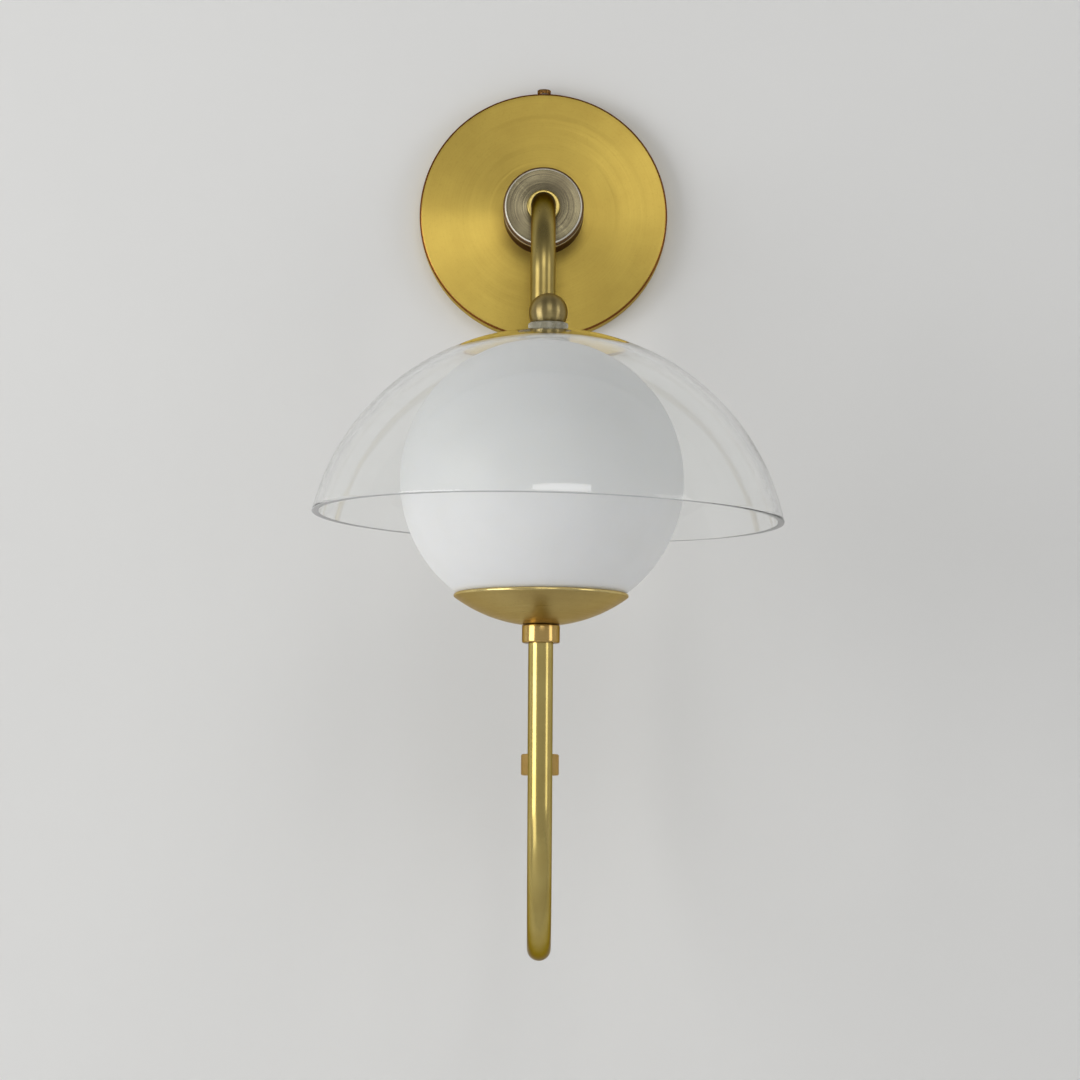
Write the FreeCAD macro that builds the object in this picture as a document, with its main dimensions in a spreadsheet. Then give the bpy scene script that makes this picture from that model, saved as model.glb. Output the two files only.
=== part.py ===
import FreeCAD, Part
import math
import operator
import os

import Sketcher

# Wall sconce: a round wall canopy with a cylindrical hub, a J-shaped brass arm, a brass cup that
# carries an opal globe, and a clear glass dome held on the globe's crown by a ball finial.
#
# Frame: millimetres, +Z up, +X to the right of someone facing the wall, the wall is the plane y = 0
# and the room lies towards -Y. The origin is the centre of the canopy's back, on the wall.
#
# Every entry below is one driving size. Heights are measured from the hub's axis, z = 0.
DRIVING_SIZES = {
    # canopy and its fixing
    "canopy_diameter": 151.5,
    "canopy_depth": 13.0,
    "canopy_sheet": 1.2,
    "canopy_rounding": 1.8,
    "crossbar_width": 20.0,
    "crossbar_sheet": 2.0,
    "crossbar_side_gap": 1.0,
    "crossbar_ear_depth": 11.0,
    "crossbar_wire_hole_diameter": 13.0,
    "wall_screw_spacing_least": 60.0,
    "wall_screw_spacing_most": 89.0,
    "wall_slot_width": 4.6,
    "ground_screw_height": 56.0,
    "ground_screw_diameter": 4.0,
    "ground_screw_head_diameter": 7.6,
    "ground_screw_head_height": 2.4,
    # knurled screws that hold the canopy to the crossbar's ears
    "thumbscrew_diameter": 4.0,
    "thumbscrew_head_diameter": 8.2,
    "thumbscrew_head_height": 2.8,
    "thumbscrew_reach_past_ear": 1.0,
    "thumbscrew_washer_diameter": 7.4,
    "thumbscrew_washer_sheet": 0.5,
    "thumbscrew_edge_rounding": 0.5,
    # hub
    "hub_diameter": 48.8,
    "hub_length": 28.0,
    "hub_chamfer": 1.0,
    "hub_bushing_diameter": 19.8,
    "hub_bushing_proud": 2.5,
    "hub_bushing_inset": 3.0,
    "hub_bushing_rounding": 0.8,
    "hub_arm_socket_depth": 19.0,
    # threaded tube, nuts and washers of the lamp thread
    "lamp_thread_diameter": 10.0,
    "lamp_thread_bore": 8.0,
    "lamp_thread_overlap": 11.0,
    "lamp_thread_end": 0.8,
    "nut_across_flats": 14.0,
    "nut_height": 3.0,
    "lock_washer_diameter": 18.0,
    "lock_washer_sheet": 0.8,
    "hub_washer_diameter": 21.2,
    "earth_tag_width": 5.0,
    "earth_tag_reach": 17.0,
    # arm
    "rear_tube_diameter": 14.5,
    "rear_tube_wall": 2.0,
    "front_tube_diameter": 13.2,
    "front_tube_wall": 1.4,
    "elbow_radius": 48.0,
    "elbow_gap": 0.5,
    "dome_arm_gap": 25.74,
    "return_bend_height": 363.0,
    "coupling_ring_diameter": 22.0,
    "coupling_ring_length": 12.2,
    "coupling_ring_top": 332.3,
    "coupling_ring_chamfer": 0.6,
    # cup and collar
    "collar_diameter": 20.3,
    "collar_length": 9.4,
    "collar_tube_socket": 5.0,
    "collar_chamfer": 0.6,
    "cup_globe_gap": 1.2,
    "cup_sheet": 1.3,
    "cup_lip_depth": 62.8,
    "cup_lip_radius": 1.1,
    "gasket_inner_radius": 34.0,
    "gasket_outer_radius": 43.0,
    # lamp inside the globe
    "bracket_width": 14.0,
    "bracket_sheet": 1.0,
    "bracket_span": 23.0,
    "bracket_tab": 5.8,
    "bracket_height": 10.2,
    "lampholder_diameter": 21.0,
    "lampholder_height": 16.0,
    "lampholder_flange_height": 3.0,
    "lampholder_screw_diameter": 3.0,
    "lampholder_screw_head_diameter": 5.4,
    "lampholder_screw_head_height": 1.8,
    "lampholder_screw_reach": 3.0,
    "spring_width": 6.0,
    "spring_sheet": 0.5,
    "spring_leaf_height": 12.0,
    "spring_seat_span": 20.0,
    "pin_spacing": 9.0,
    "pin_width": 3.6,
    "pin_wire": 0.9,
    "pin_length": 6.5,
    "bulb_base_width": 15.0,
    "bulb_base_depth": 9.0,
    "bulb_base_height": 8.0,
    "bulb_diameter": 13.0,
    "bulb_glass": 0.9,
    "bulb_length": 36.0,
    "bulb_core_diameter": 6.0,
    "bulb_core_length": 24.0,
    # opal globe
    "globe_centre_height": 190.8,
    "globe_diameter": 152.8,
    "globe_wall": 2.5,
    "globe_mouth_diameter": 58.0,
    "globe_seat_depth": 0.5,
    # crown: threaded bush, pad, dome and finial
    "crown_offset": 2.9,
    "bush_flange_diameter": 16.0,
    "bush_flange_height": 1.5,
    "bush_washer_sheet": 1.0,
    "bush_washer_diameter": 15.0,
    "bush_nut_diameter": 15.0,
    "bush_nut_height": 1.1,
    "pad_inner_diameter": 18.0,
    "pad_outer_diameter": 24.0,
    "dome_crown_gap": 1.8,
    "dome_outer_radius": 130.0,
    "dome_wall": 3.5,
    "dome_rim_tilt": 1.37,
    "dome_rim_edge": 0.4,
    "dome_neck_hole_diameter": 10.6,
    "dome_neck_diameter": 21.6,
    "dome_neck_bore_diameter": 18.6,
    "dome_neck_height": 3.7,
    "finial_diameter": 21.0,
    "finial_seat_depth": 8.7,
    "finial_stem_diameter": 6.0,
    "finial_stem_reach": 1.8,
    "finial_washer_diameter": 13.0,
    # wiring
    "lead_diameter": 2.0,
    "lead_spacing": 3.2,
    "lead_turn_radius": 4.6,
    "terminal_block_width": 18.0,
    "terminal_block_height": 12.0,
    "terminal_block_depth": 7.6,
    "terminal_block_gap": 1.6,
    "terminal_spacing": 8.4,
    "terminal_screw_diameter": 3.0,
    "terminal_screw_length": 4.0,
    "lead_entry_depth": 3.0,
    "eyelet_diameter": 9.6,
    "eyelet_sheet": 0.8,
    # clearances
    "running_gap": 0.05,
    "fit_gap": 0.1,
    "glass_gap": 0.3,
    "hole_gap": 0.25,
}

# Shares of another size.
DOME_RIM_SHARE = 0.977
FINIAL_WASHER_SHARE = 0.06

ZERO = 0
SAME_POINT = 1e-6
ANTICLOCKWISE = 1
CLOCKWISE = -1
X_AXIS = FreeCAD.Vector(1, 0, 0)
Y_AXIS = FreeCAD.Vector(0, 1, 0)
Z_AXIS = FreeCAD.Vector(0, 0, 1)
UPRIGHT = FreeCAD.Rotation()
# A body turned this way has its own +Z pointing into the room and its own +Y pointing up.
INTO_ROOM = FreeCAD.Rotation(X_AXIS, 90)
UPSIDE_DOWN = FreeCAD.Rotation(X_AXIS, 180)

OPERATIONS = {
    "+": operator.add,
    "-": operator.sub,
    "*": operator.mul,
    "/": operator.truediv,
}


class Size:
    """A length worked out from the sheet: its value now, and the expression that binds it."""

    def __init__(self, value, text):
        self.value = value
        self.text = text

    def __add__(self, other):
        return combined(self, "+", other)

    def __radd__(self, other):
        return combined(other, "+", self)

    def __sub__(self, other):
        return combined(self, "-", other)

    def __mul__(self, other):
        return combined(self, "*", other)

    def __truediv__(self, other):
        return combined(self, "/", other)

    def __neg__(self):
        return Size(-self.value, f"-({self.text})")


def as_size(number):
    """Return a Size as it is, and a plain share or zero as a Size."""
    if isinstance(number, Size):
        return number
    return Size(float(number), str(number))


def combined(left, sign, right):
    """Join two sizes, or a size and a share, with one of the four operations."""
    left = as_size(left)
    right = as_size(right)
    value = OPERATIONS[sign](left.value, right.value)
    return Size(value, f"({left.text} {sign} {right.text})")


def leg(longest, other):
    """The third side of a right triangle, from its longest side and another."""
    longest = as_size(longest)
    other = as_size(other)
    value = math.sqrt(longest.value ** 2 - other.value ** 2)
    text = f"sqrt({longest.text} * {longest.text} - {other.text} * {other.text})"
    return Size(value, text)


def make_sheet(doc):
    """Put every driving size into the sheet and return them by name."""
    sheet = doc.addObject("Spreadsheet::Sheet", "Sizes")
    for row, (name, value) in enumerate(DRIVING_SIZES.items(), start=1):
        sheet.set(f"A{row}", name)
        sheet.set(f"B{row}", str(value))
        sheet.setAlias(f"B{row}", name)
    doc.recompute()
    return {name: Size(float(sheet.get(name)), f"Sizes.{name}") for name in DRIVING_SIZES}


class Sizes:
    """The driving sizes as attributes, with the few that several pieces share worked out."""

    def __init__(self, named):
        self.__dict__.update(named)
        self.canopy_radius = self.canopy_diameter / 2
        self.canopy_inner_radius = self.canopy_radius - self.canopy_sheet
        self.canopy_face = self.canopy_depth
        self.canopy_inner_face = self.canopy_depth - self.canopy_sheet
        self.thumbscrew_depth = self.canopy_depth / 2
        self.ear_outer = self.canopy_inner_radius - self.crossbar_side_gap
        self.ear_inner = self.ear_outer - self.crossbar_sheet
        self.hub_face = self.canopy_depth + self.hub_length
        self.hub_socket_floor = self.hub_face - self.hub_arm_socket_depth
        self.lamp_thread_radius = self.lamp_thread_diameter / 2
        self.lamp_thread_hole_radius = self.lamp_thread_radius + self.fit_gap
        self.rear_tube_radius = self.rear_tube_diameter / 2
        self.front_tube_radius = self.front_tube_diameter / 2
        self.rear_tube_bore = self.rear_tube_radius - self.rear_tube_wall
        self.front_tube_bore = self.front_tube_radius - self.front_tube_wall
        self.elbow_start = self.hub_face + self.hub_bushing_proud + self.elbow_gap
        self.rear_reach = self.elbow_start + self.elbow_radius
        self.dome_rim_radius = self.dome_outer_radius * DOME_RIM_SHARE
        self.dome_inner_radius = self.dome_outer_radius - self.dome_wall
        # the globe hangs just far enough forward for the dome's rim to clear the arm behind it
        self.front_reach = (
            self.rear_reach + self.rear_tube_radius + self.dome_arm_gap + self.dome_rim_radius
        )
        self.return_radius = (self.front_reach - self.rear_reach) / 2
        self.tube_joint_height = self.coupling_ring_top + self.coupling_ring_length / 2
        self.globe_outer_radius = self.globe_diameter / 2
        self.cup_inner_radius = self.globe_outer_radius + self.cup_globe_gap
        self.cup_outer_radius = self.cup_inner_radius + self.cup_sheet
        # heights below the hub's axis, as positive numbers
        self.cup_bottom = self.globe_centre_height + self.cup_outer_radius
        self.collar_top = self.globe_centre_height + leg(
            self.cup_outer_radius, self.lamp_thread_hole_radius
        )
        self.collar_bottom = self.collar_top + self.collar_length
        self.collar_tube_end = self.collar_bottom - self.collar_tube_socket
        self.cup_washer_bottom = self.globe_centre_height - self.running_gap + leg(
            self.cup_inner_radius, self.lock_washer_diameter / 2
        )
        self.cup_washer_top = self.cup_washer_bottom - self.lock_washer_sheet
        self.bracket_top = self.cup_washer_top - self.bracket_sheet
        self.spring_seat_top = self.bracket_top - self.spring_sheet
        self.cup_nut_top = self.spring_seat_top - self.nut_height
        self.cup_nipple_top = self.cup_nut_top - self.lamp_thread_end
        self.tab_top = self.cup_washer_top - self.bracket_height
        self.lampholder_top = self.tab_top - self.lampholder_height
        self.bulb_base_bottom = self.lampholder_top - self.glass_gap
        self.bulb_base_top = self.bulb_base_bottom - self.bulb_base_height
        self.globe_inner_radius = self.globe_outer_radius - self.globe_wall
        self.globe_mouth_radius = self.globe_mouth_diameter / 2
        self.globe_seat = self.globe_centre_height - self.globe_outer_radius + self.globe_seat_depth
        self.globe_bush_hole_radius = self.lamp_thread_radius + self.glass_gap
        self.dome_centre_height = self.globe_seat - self.dome_crown_gap + self.dome_inner_radius
        self.dome_top = self.dome_centre_height - self.dome_outer_radius
        self.finial_seat = self.dome_top - self.glass_gap - self.finial_washer_sheet()
        self.finial_centre_height = self.finial_seat - self.finial_seat_depth
        self.finial_radius = self.finial_diameter / 2
        self.stem_radius = self.finial_stem_diameter / 2
        self.bush_washer_top = self.globe_centre_height + self.running_gap - leg(
            self.globe_inner_radius, self.bush_washer_diameter / 2 + self.crown_offset
        )
        self.bush_flange_top = self.bush_washer_top + self.bush_washer_sheet
        self.bush_bottom = self.bush_flange_top + self.bush_flange_height
        self.bush_top = self.globe_seat - self.bush_nut_height

    def finial_washer_sheet(self):
        """Thickness of the soft washer under the ball, a share of its width."""
        return self.finial_washer_diameter * FINIAL_WASHER_SHARE


def origin_plane(body, role):
    """One of a body's own origin planes."""
    return next(feature for feature in body.Origin.OriginFeatures if feature.Role == role)


def make_body(doc, label, base=(ZERO, ZERO, ZERO), rotation=UPRIGHT):
    """A named body, placed and turned, whose place follows the sheet."""
    body = doc.addObject("PartDesign::Body", label)
    body.Label = label
    place(body, base, rotation)
    return body


def place(thing, base, rotation=UPRIGHT):
    """Put an object at a place given in sizes, and bind that place to the sheet."""
    base = [as_size(part) for part in base]
    vector = FreeCAD.Vector(*[part.value for part in base])
    thing.Placement = FreeCAD.Placement(vector, rotation)
    for axis, part in zip("xyz", base):
        if part.text != "0":
            thing.setExpression(f"Placement.Base.{axis}", part.text)


def make_sketch(body, role, name, offset=ZERO, turn=None):
    """An empty sketch on one of the body's own planes, moved off it or turned on it by sizes."""
    sketch = body.newObject("Sketcher::SketchObject", name)
    sketch.AttachmentSupport = [(origin_plane(body, role), "")]
    sketch.MapMode = "FlatFace"
    offset = as_size(offset)
    rotation = FreeCAD.Rotation(Z_AXIS, turn.value) if turn else UPRIGHT
    sketch.AttachmentOffset = FreeCAD.Placement(FreeCAD.Vector(0, 0, offset.value), rotation)
    if offset.text != "0":
        sketch.setExpression("AttachmentOffset.Base.z", offset.text)
    if turn:
        sketch.setExpression("AttachmentOffset.Rotation.Angle", turn.text)
    return sketch


def constrain(sketch, kind, *arguments, size):
    """Add a constraint with a length that follows the sheet."""
    number = sketch.addConstraint(Sketcher.Constraint(kind, *arguments, size.value))
    sketch.setExpression(f"Constraints[{number}]", size.text)


def fix_point(sketch, shape, end, across, up):
    """Hold a point of a sketch at its two coordinates."""
    if across.text == "0":
        sketch.addConstraint(Sketcher.Constraint("PointOnObject", shape, end, -2))
    else:
        constrain(sketch, "DistanceX", shape, end, size=across)
    if up.text == "0":
        sketch.addConstraint(Sketcher.Constraint("PointOnObject", shape, end, -1))
    else:
        constrain(sketch, "DistanceY", shape, end, size=up)


def draw_circle(sketch, across, up, radius):
    """A circle held by its centre and radius."""
    across = as_size(across)
    up = as_size(up)
    circle = Part.Circle(FreeCAD.Vector(across.value, up.value, 0), Z_AXIS, radius.value)
    shape = sketch.addGeometry(circle, False)
    fix_point(sketch, shape, 3, across, up)
    constrain(sketch, "Radius", shape, size=radius)


def arc_between(start, end, radius, turn):
    """The short arc from start to end that turns the given way."""
    chord = end - start
    half = chord.Length / 2
    height = math.sqrt(max(radius ** 2 - half ** 2, 0))
    side = FreeCAD.Vector(-chord.y, chord.x, 0).normalize() * (height * turn)
    centre = (start + end) / 2 + side
    first, last = (start, end) if turn == ANTICLOCKWISE else (end, start)
    begin = math.atan2(first.y - centre.y, first.x - centre.x)
    finish = math.atan2(last.y - centre.y, last.x - centre.x)
    return Part.ArcOfCircle(Part.Circle(centre, Z_AXIS, radius), begin, finish)


def draw_outline(sketch, corners, closed=True):
    """
    Straight and round sides through corners, each held by its coordinates.

    A corner is (across, up), or (across, up, radius, turn) when the side that leaves it is an arc.
    """
    places = [(as_size(corner[0]), as_size(corner[1])) for corner in corners]
    points = [FreeCAD.Vector(across.value, up.value, 0) for across, up in places]
    sides = []
    for index in range(len(corners) if closed else len(corners) - 1):
        start = points[index]
        end = points[(index + 1) % len(points)]
        if len(corners[index]) == 2:
            shape = sketch.addGeometry(Part.LineSegment(start, end), False)
            sides.append((shape, 1, 2))
            continue
        radius, turn = corners[index][2:]
        shape = sketch.addGeometry(arc_between(start, end, radius.value, turn), False)
        constrain(sketch, "Radius", shape, size=radius)
        sides.append((shape, 1, 2) if turn == ANTICLOCKWISE else (shape, 2, 1))
    for index, (shape, start, end) in enumerate(sides):
        fix_point(sketch, shape, start, *places[index])
        if closed or index + 1 < len(sides):
            following, following_start, _ = sides[(index + 1) % len(sides)]
            sketch.addConstraint(
                Sketcher.Constraint("Coincident", shape, end, following, following_start)
            )
    if not closed:
        shape, _, end = sides[-1]
        fix_point(sketch, shape, end, *places[-1])


def draw_rectangle(sketch, left, bottom, right, top):
    """A rectangle held by its corners."""
    draw_outline(sketch, [(left, bottom), (right, bottom), (right, top), (left, top)])


def draw_upright_slot(sketch, across, bottom, top, radius):
    """A round-ended slot that runs upwards, given by the centres of its two ends."""
    across = as_size(across)
    draw_outline(
        sketch,
        [
            (across + radius, bottom),
            (across + radius, top, radius, ANTICLOCKWISE),
            (across, top + radius, radius, ANTICLOCKWISE),
            (across - radius, top),
            (across - radius, bottom, radius, ANTICLOCKWISE),
            (across, bottom - radius, radius, ANTICLOCKWISE),
        ],
    )


def draw_hexagon(sketch, across_flats):
    """A hexagon round the origin with two upright sides."""
    half = across_flats / 2
    corner = across_flats / math.sqrt(3)
    draw_outline(
        sketch,
        [
            (half, corner / -2),
            (half, corner / 2),
            (ZERO, corner),
            (-half, corner / 2),
            (-half, corner / -2),
            (ZERO, -corner),
        ],
    )


def turn_outline(body, corners, name="profile", tilt=None):
    """Revolve an outline, given as radius and height, about the body's own upright axis."""
    sketch = make_sketch(body, "XZ_Plane", name, turn=tilt)
    draw_outline(sketch, corners)
    return revolve(body, sketch, name)


def revolve(body, sketch, name):
    """Revolve a sketch right round its own upright axis and add it to the body."""
    turned = body.newObject("PartDesign::Revolution", f"{name}_turned")
    turned.Profile = sketch
    turned.ReferenceAxis = (sketch, ["V_Axis"])
    turned.Angle = 360
    return turned


def make_turned(doc, label, corners, base=(ZERO, ZERO, ZERO), rotation=UPRIGHT):
    """A turned piece with one outline."""
    body = make_body(doc, label, base, rotation)
    turn_outline(body, corners)
    return body


def make_ring(doc, label, inner, outer, bottom, top, base=(ZERO, ZERO, ZERO), rotation=UPRIGHT):
    """A plain ring or tube between two heights."""
    corners = [(inner, bottom), (outer, bottom), (outer, top), (inner, top)]
    return make_turned(doc, label, corners, base, rotation)


def pad(body, sketch, length, reverse=False):
    """Raise a sketch from its plane."""
    raised = body.newObject("PartDesign::Pad", f"{sketch.Name}_pad")
    raised.Profile = sketch
    raised.Length = length.value
    raised.setExpression("Length", length.text)
    raised.Reversed = reverse
    return raised


def pocket_through(body, sketch):
    """Cut a sketch right through the body, both ways from its plane."""
    cut = body.newObject("PartDesign::Pocket", f"{sketch.Name}_cut")
    cut.Profile = sketch
    cut.Type = "ThroughAll"
    cut.Midplane = True
    return cut


def pocket(body, sketch, length, reverse=False):
    """Cut a sketch to a depth."""
    cut = body.newObject("PartDesign::Pocket", f"{sketch.Name}_cut")
    cut.Profile = sketch
    cut.Length = length.value
    cut.setExpression("Length", length.text)
    cut.Reversed = reverse
    return cut


def sweep(body, ring, route):
    """Draw a ring along a route."""
    pipe = body.newObject("PartDesign::AdditivePipe", f"{ring.Name}_swept")
    pipe.Profile = ring
    pipe.Spine = (route, [])
    return pipe


# Canopy and fixing


def make_crossbar(doc, s):
    """Strap that screws to the wall box, with two bent ears for the canopy's screws."""
    body = make_body(doc, "crossbar")
    half_width = s.crossbar_width / 2
    strap = make_sketch(body, "XZ_Plane", "strap")
    draw_rectangle(strap, -half_width, -s.ear_outer, half_width, s.ear_outer)
    pad(body, strap, s.crossbar_sheet)
    for name, low, high in (
        ("lower_ear", -s.ear_outer, -s.ear_inner),
        ("upper_ear", s.ear_inner, s.ear_outer),
    ):
        ear = make_sketch(body, "XZ_Plane", name)
        draw_rectangle(ear, -half_width, low, half_width, high)
        pad(body, ear, s.crossbar_ear_depth)
    holes = make_sketch(body, "XZ_Plane", "strap_holes")
    slot_radius = s.wall_slot_width / 2
    nearest = s.wall_screw_spacing_least / 2
    farthest = s.wall_screw_spacing_most / 2
    draw_circle(holes, ZERO, ZERO, s.crossbar_wire_hole_diameter / 2)
    draw_upright_slot(holes, ZERO, nearest, farthest, slot_radius)
    draw_upright_slot(holes, ZERO, -farthest, -nearest, slot_radius)
    draw_circle(holes, ZERO, -s.ground_screw_height, s.ground_screw_diameter / 2 + s.running_gap)
    pocket_through(body, holes)
    threads = make_sketch(body, "XY_Plane", "ear_threads")
    draw_circle(threads, ZERO, -s.thumbscrew_depth, s.thumbscrew_diameter / 2 + s.running_gap)
    pocket_through(body, threads)
    return body


def make_ground_screw(doc, s):
    """Earth screw in the strap, its head above the earth lead's eyelet."""
    radius = s.ground_screw_diameter / 2
    head_bottom = s.crossbar_sheet + s.eyelet_sheet
    head_top = head_bottom + s.ground_screw_head_height
    corners = [
        (ZERO, ZERO),
        (radius, ZERO),
        (radius, head_bottom),
        (s.ground_screw_head_diameter / 2, head_bottom),
        (s.ground_screw_head_diameter / 2, head_top),
        (ZERO, head_top),
    ]
    return make_turned(
        doc, "ground_screw", corners, (ZERO, ZERO, -s.ground_screw_height), INTO_ROOM
    )


def make_canopy(doc, s):
    """Spun wall cover, open at the wall, with the hub's hole and two screw holes in its side."""
    body = make_body(doc, "canopy", rotation=INTO_ROOM)
    hole = s.lamp_thread_hole_radius
    turn_outline(
        body,
        [
            (s.canopy_inner_radius, ZERO),
            (s.canopy_radius, ZERO),
            (s.canopy_radius, s.canopy_face - s.canopy_rounding, s.canopy_rounding, ANTICLOCKWISE),
            (s.canopy_radius - s.canopy_rounding, s.canopy_face),
            (hole, s.canopy_face),
            (hole, s.canopy_inner_face),
            (s.canopy_inner_radius, s.canopy_inner_face),
        ],
    )
    holes = make_sketch(body, "XZ_Plane", "screw_holes")
    draw_circle(holes, ZERO, s.thumbscrew_depth, s.thumbscrew_diameter / 2 + s.hole_gap)
    pocket_through(body, holes)
    return body


def make_thumbscrew(doc, s, end, rotation):
    """One knurled screw, pointing outwards along the canopy's radius."""
    radius = s.thumbscrew_diameter / 2
    head = s.thumbscrew_head_diameter / 2
    edge = s.thumbscrew_edge_rounding
    tip = s.ear_inner - s.thumbscrew_reach_past_ear
    bottom = s.canopy_radius + s.fit_gap + s.thumbscrew_washer_sheet
    top = bottom + s.thumbscrew_head_height
    corners = [
        (ZERO, tip),
        (radius, tip),
        (radius, bottom),
        (head, bottom),
        (head, top - edge, edge, ANTICLOCKWISE),
        (head - edge, top),
        (ZERO, top),
    ]
    base = (ZERO, -s.thumbscrew_depth, ZERO)
    return make_turned(doc, f"thumbscrew_{end}", corners, base, rotation)


def make_thumbscrew_washer(doc, s, end, rotation):
    """Soft washer that keeps the knurled screw off the canopy."""
    inner = s.thumbscrew_diameter / 2 + s.running_gap
    bottom = s.canopy_radius + s.fit_gap
    return make_ring(
        doc,
        f"thumbscrew_washer_{end}",
        inner,
        s.thumbscrew_washer_diameter / 2,
        bottom,
        bottom + s.thumbscrew_washer_sheet,
        (ZERO, -s.thumbscrew_depth, ZERO),
        rotation,
    )


# Hub


def make_hub(doc, s):
    """Solid turned hub, bored for the threaded tube, the arm and the bushing."""
    outer = s.hub_diameter / 2
    thread_hole = s.lamp_thread_hole_radius
    socket = s.rear_tube_radius + s.fit_gap
    bushing = s.hub_bushing_diameter / 2 + s.running_gap
    bushing_floor = s.hub_face - s.hub_bushing_inset
    corners = [
        (thread_hole, s.canopy_face),
        (outer, s.canopy_face),
        (outer, s.hub_face - s.hub_chamfer),
        (outer - s.hub_chamfer, s.hub_face),
        (bushing, s.hub_face),
        (bushing, bushing_floor),
        (socket, bushing_floor),
        (socket, s.hub_socket_floor),
        (thread_hole, s.hub_socket_floor),
    ]
    return make_turned(doc, "hub", corners, rotation=INTO_ROOM)


def make_hub_bushing(doc, s):
    """Bright ring round the arm where it leaves the hub."""
    inner = s.rear_tube_radius + s.fit_gap
    outer = s.hub_bushing_diameter / 2
    edge = s.hub_bushing_rounding
    bottom = s.hub_face - s.hub_bushing_inset
    top = s.hub_face + s.hub_bushing_proud
    corners = [
        (inner, bottom),
        (outer, bottom),
        (outer, top - edge, edge, ANTICLOCKWISE),
        (outer - edge, top),
        (inner, top),
    ]
    return make_turned(doc, "hub_bushing", corners, rotation=INTO_ROOM)


def make_hub_nipple(doc, s):
    """Threaded tube that joins the canopy, the hub and the arm."""
    start = s.canopy_inner_face - s.lock_washer_sheet - s.nut_height - s.lamp_thread_end
    end = s.hub_socket_floor + s.lamp_thread_overlap
    return make_ring(
        doc, "hub_nipple", s.lamp_thread_bore / 2, s.lamp_thread_radius, start, end,
        rotation=INTO_ROOM,
    )


def make_hub_earth_washer(doc, s):
    """Washer under the hub's nut with the tag that takes the earth lead."""
    body = make_body(doc, "hub_earth_washer", rotation=INTO_ROOM)
    top = s.canopy_inner_face
    bottom = top - s.lock_washer_sheet
    tag = make_sketch(body, "XY_Plane", "tag", offset=bottom)
    half = s.earth_tag_width / 2
    draw_rectangle(tag, -half, -s.earth_tag_reach, half, -s.lamp_thread_radius)
    pad(body, tag, s.lock_washer_sheet)
    disc = make_sketch(body, "XY_Plane", "disc", offset=bottom)
    draw_circle(disc, ZERO, ZERO, s.hub_washer_diameter / 2)
    pad(body, disc, s.lock_washer_sheet)
    hole = make_sketch(body, "XY_Plane", "thread_hole")
    draw_circle(hole, ZERO, ZERO, s.lamp_thread_hole_radius)
    pocket_through(body, hole)
    return body


def make_nut(doc, s, label, bottom, base=(ZERO, ZERO, ZERO), rotation=UPRIGHT):
    """Thin hexagonal nut on the lamp thread, standing on the height given."""
    body = make_body(doc, label, base, rotation)
    outline = make_sketch(body, "XY_Plane", "flats", offset=bottom)
    draw_hexagon(outline, s.nut_across_flats)
    draw_circle(outline, ZERO, ZERO, s.lamp_thread_radius + s.running_gap)
    pad(body, outline, s.nut_height)
    return body


# Arm


def make_rear_arm(doc, s):
    """Upper tube of the arm: out of the hub, round the elbow and down to the coupling."""
    body = make_body(doc, "rear_arm", (ZERO, -s.hub_socket_floor, ZERO))
    ring = make_sketch(body, "XZ_Plane", "rear_ring")
    draw_circle(ring, ZERO, ZERO, s.rear_tube_radius)
    draw_circle(ring, ZERO, ZERO, s.rear_tube_bore)
    route = make_sketch(body, "YZ_Plane", "rear_route")
    bend = s.elbow_start - s.hub_socket_floor
    down = s.rear_reach - s.hub_socket_floor
    draw_outline(
        route,
        [
            (ZERO, ZERO),
            (-bend, ZERO, s.elbow_radius, ANTICLOCKWISE),
            (-down, -s.elbow_radius),
            (-down, -s.tube_joint_height),
        ],
        closed=False,
    )
    sweep(body, ring, route)
    return body


def make_coupling_ring(doc, s):
    """Ring over the joint between the arm's two tubes, stepped for their two diameters."""
    outer = s.coupling_ring_diameter / 2
    edge = s.coupling_ring_chamfer
    half = s.coupling_ring_length / 2
    upper = s.rear_tube_radius + s.fit_gap
    lower = s.front_tube_radius + s.fit_gap
    corners = [
        (lower, -half),
        (outer - edge, -half),
        (outer, edge - half),
        (outer, half - edge),
        (outer - edge, half),
        (upper, half),
        (upper, ZERO),
        (lower, ZERO),
    ]
    return make_turned(doc, "coupling_ring", corners, (ZERO, -s.rear_reach, -s.tube_joint_height))


def make_coupling_nipple(doc, s):
    """Threaded tube inside both ends of the arm's tubes."""
    reach = s.lamp_thread_overlap
    return make_ring(
        doc, "coupling_nipple", s.lamp_thread_bore / 2, s.lamp_thread_radius, -reach, reach,
        (ZERO, -s.rear_reach, -s.tube_joint_height),
    )


def make_front_arm(doc, s):
    """Lower tube of the arm: down, round the return bend and up to the collar."""
    body = make_body(doc, "front_arm", (ZERO, -s.rear_reach, -s.tube_joint_height))
    ring = make_sketch(body, "XY_Plane", "front_ring")
    draw_circle(ring, ZERO, ZERO, s.front_tube_radius)
    draw_circle(ring, ZERO, ZERO, s.front_tube_bore)
    route = make_sketch(body, "YZ_Plane", "front_route")
    bend = s.tube_joint_height - s.return_bend_height
    radius = s.return_radius
    draw_outline(
        route,
        [
            (ZERO, ZERO),
            (ZERO, bend, radius, CLOCKWISE),
            (-radius, bend - radius, radius, CLOCKWISE),
            (radius * -2, bend),
            (radius * -2, s.tube_joint_height - s.collar_tube_end),
        ],
        closed=False,
    )
    sweep(body, ring, route)
    return body


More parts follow.
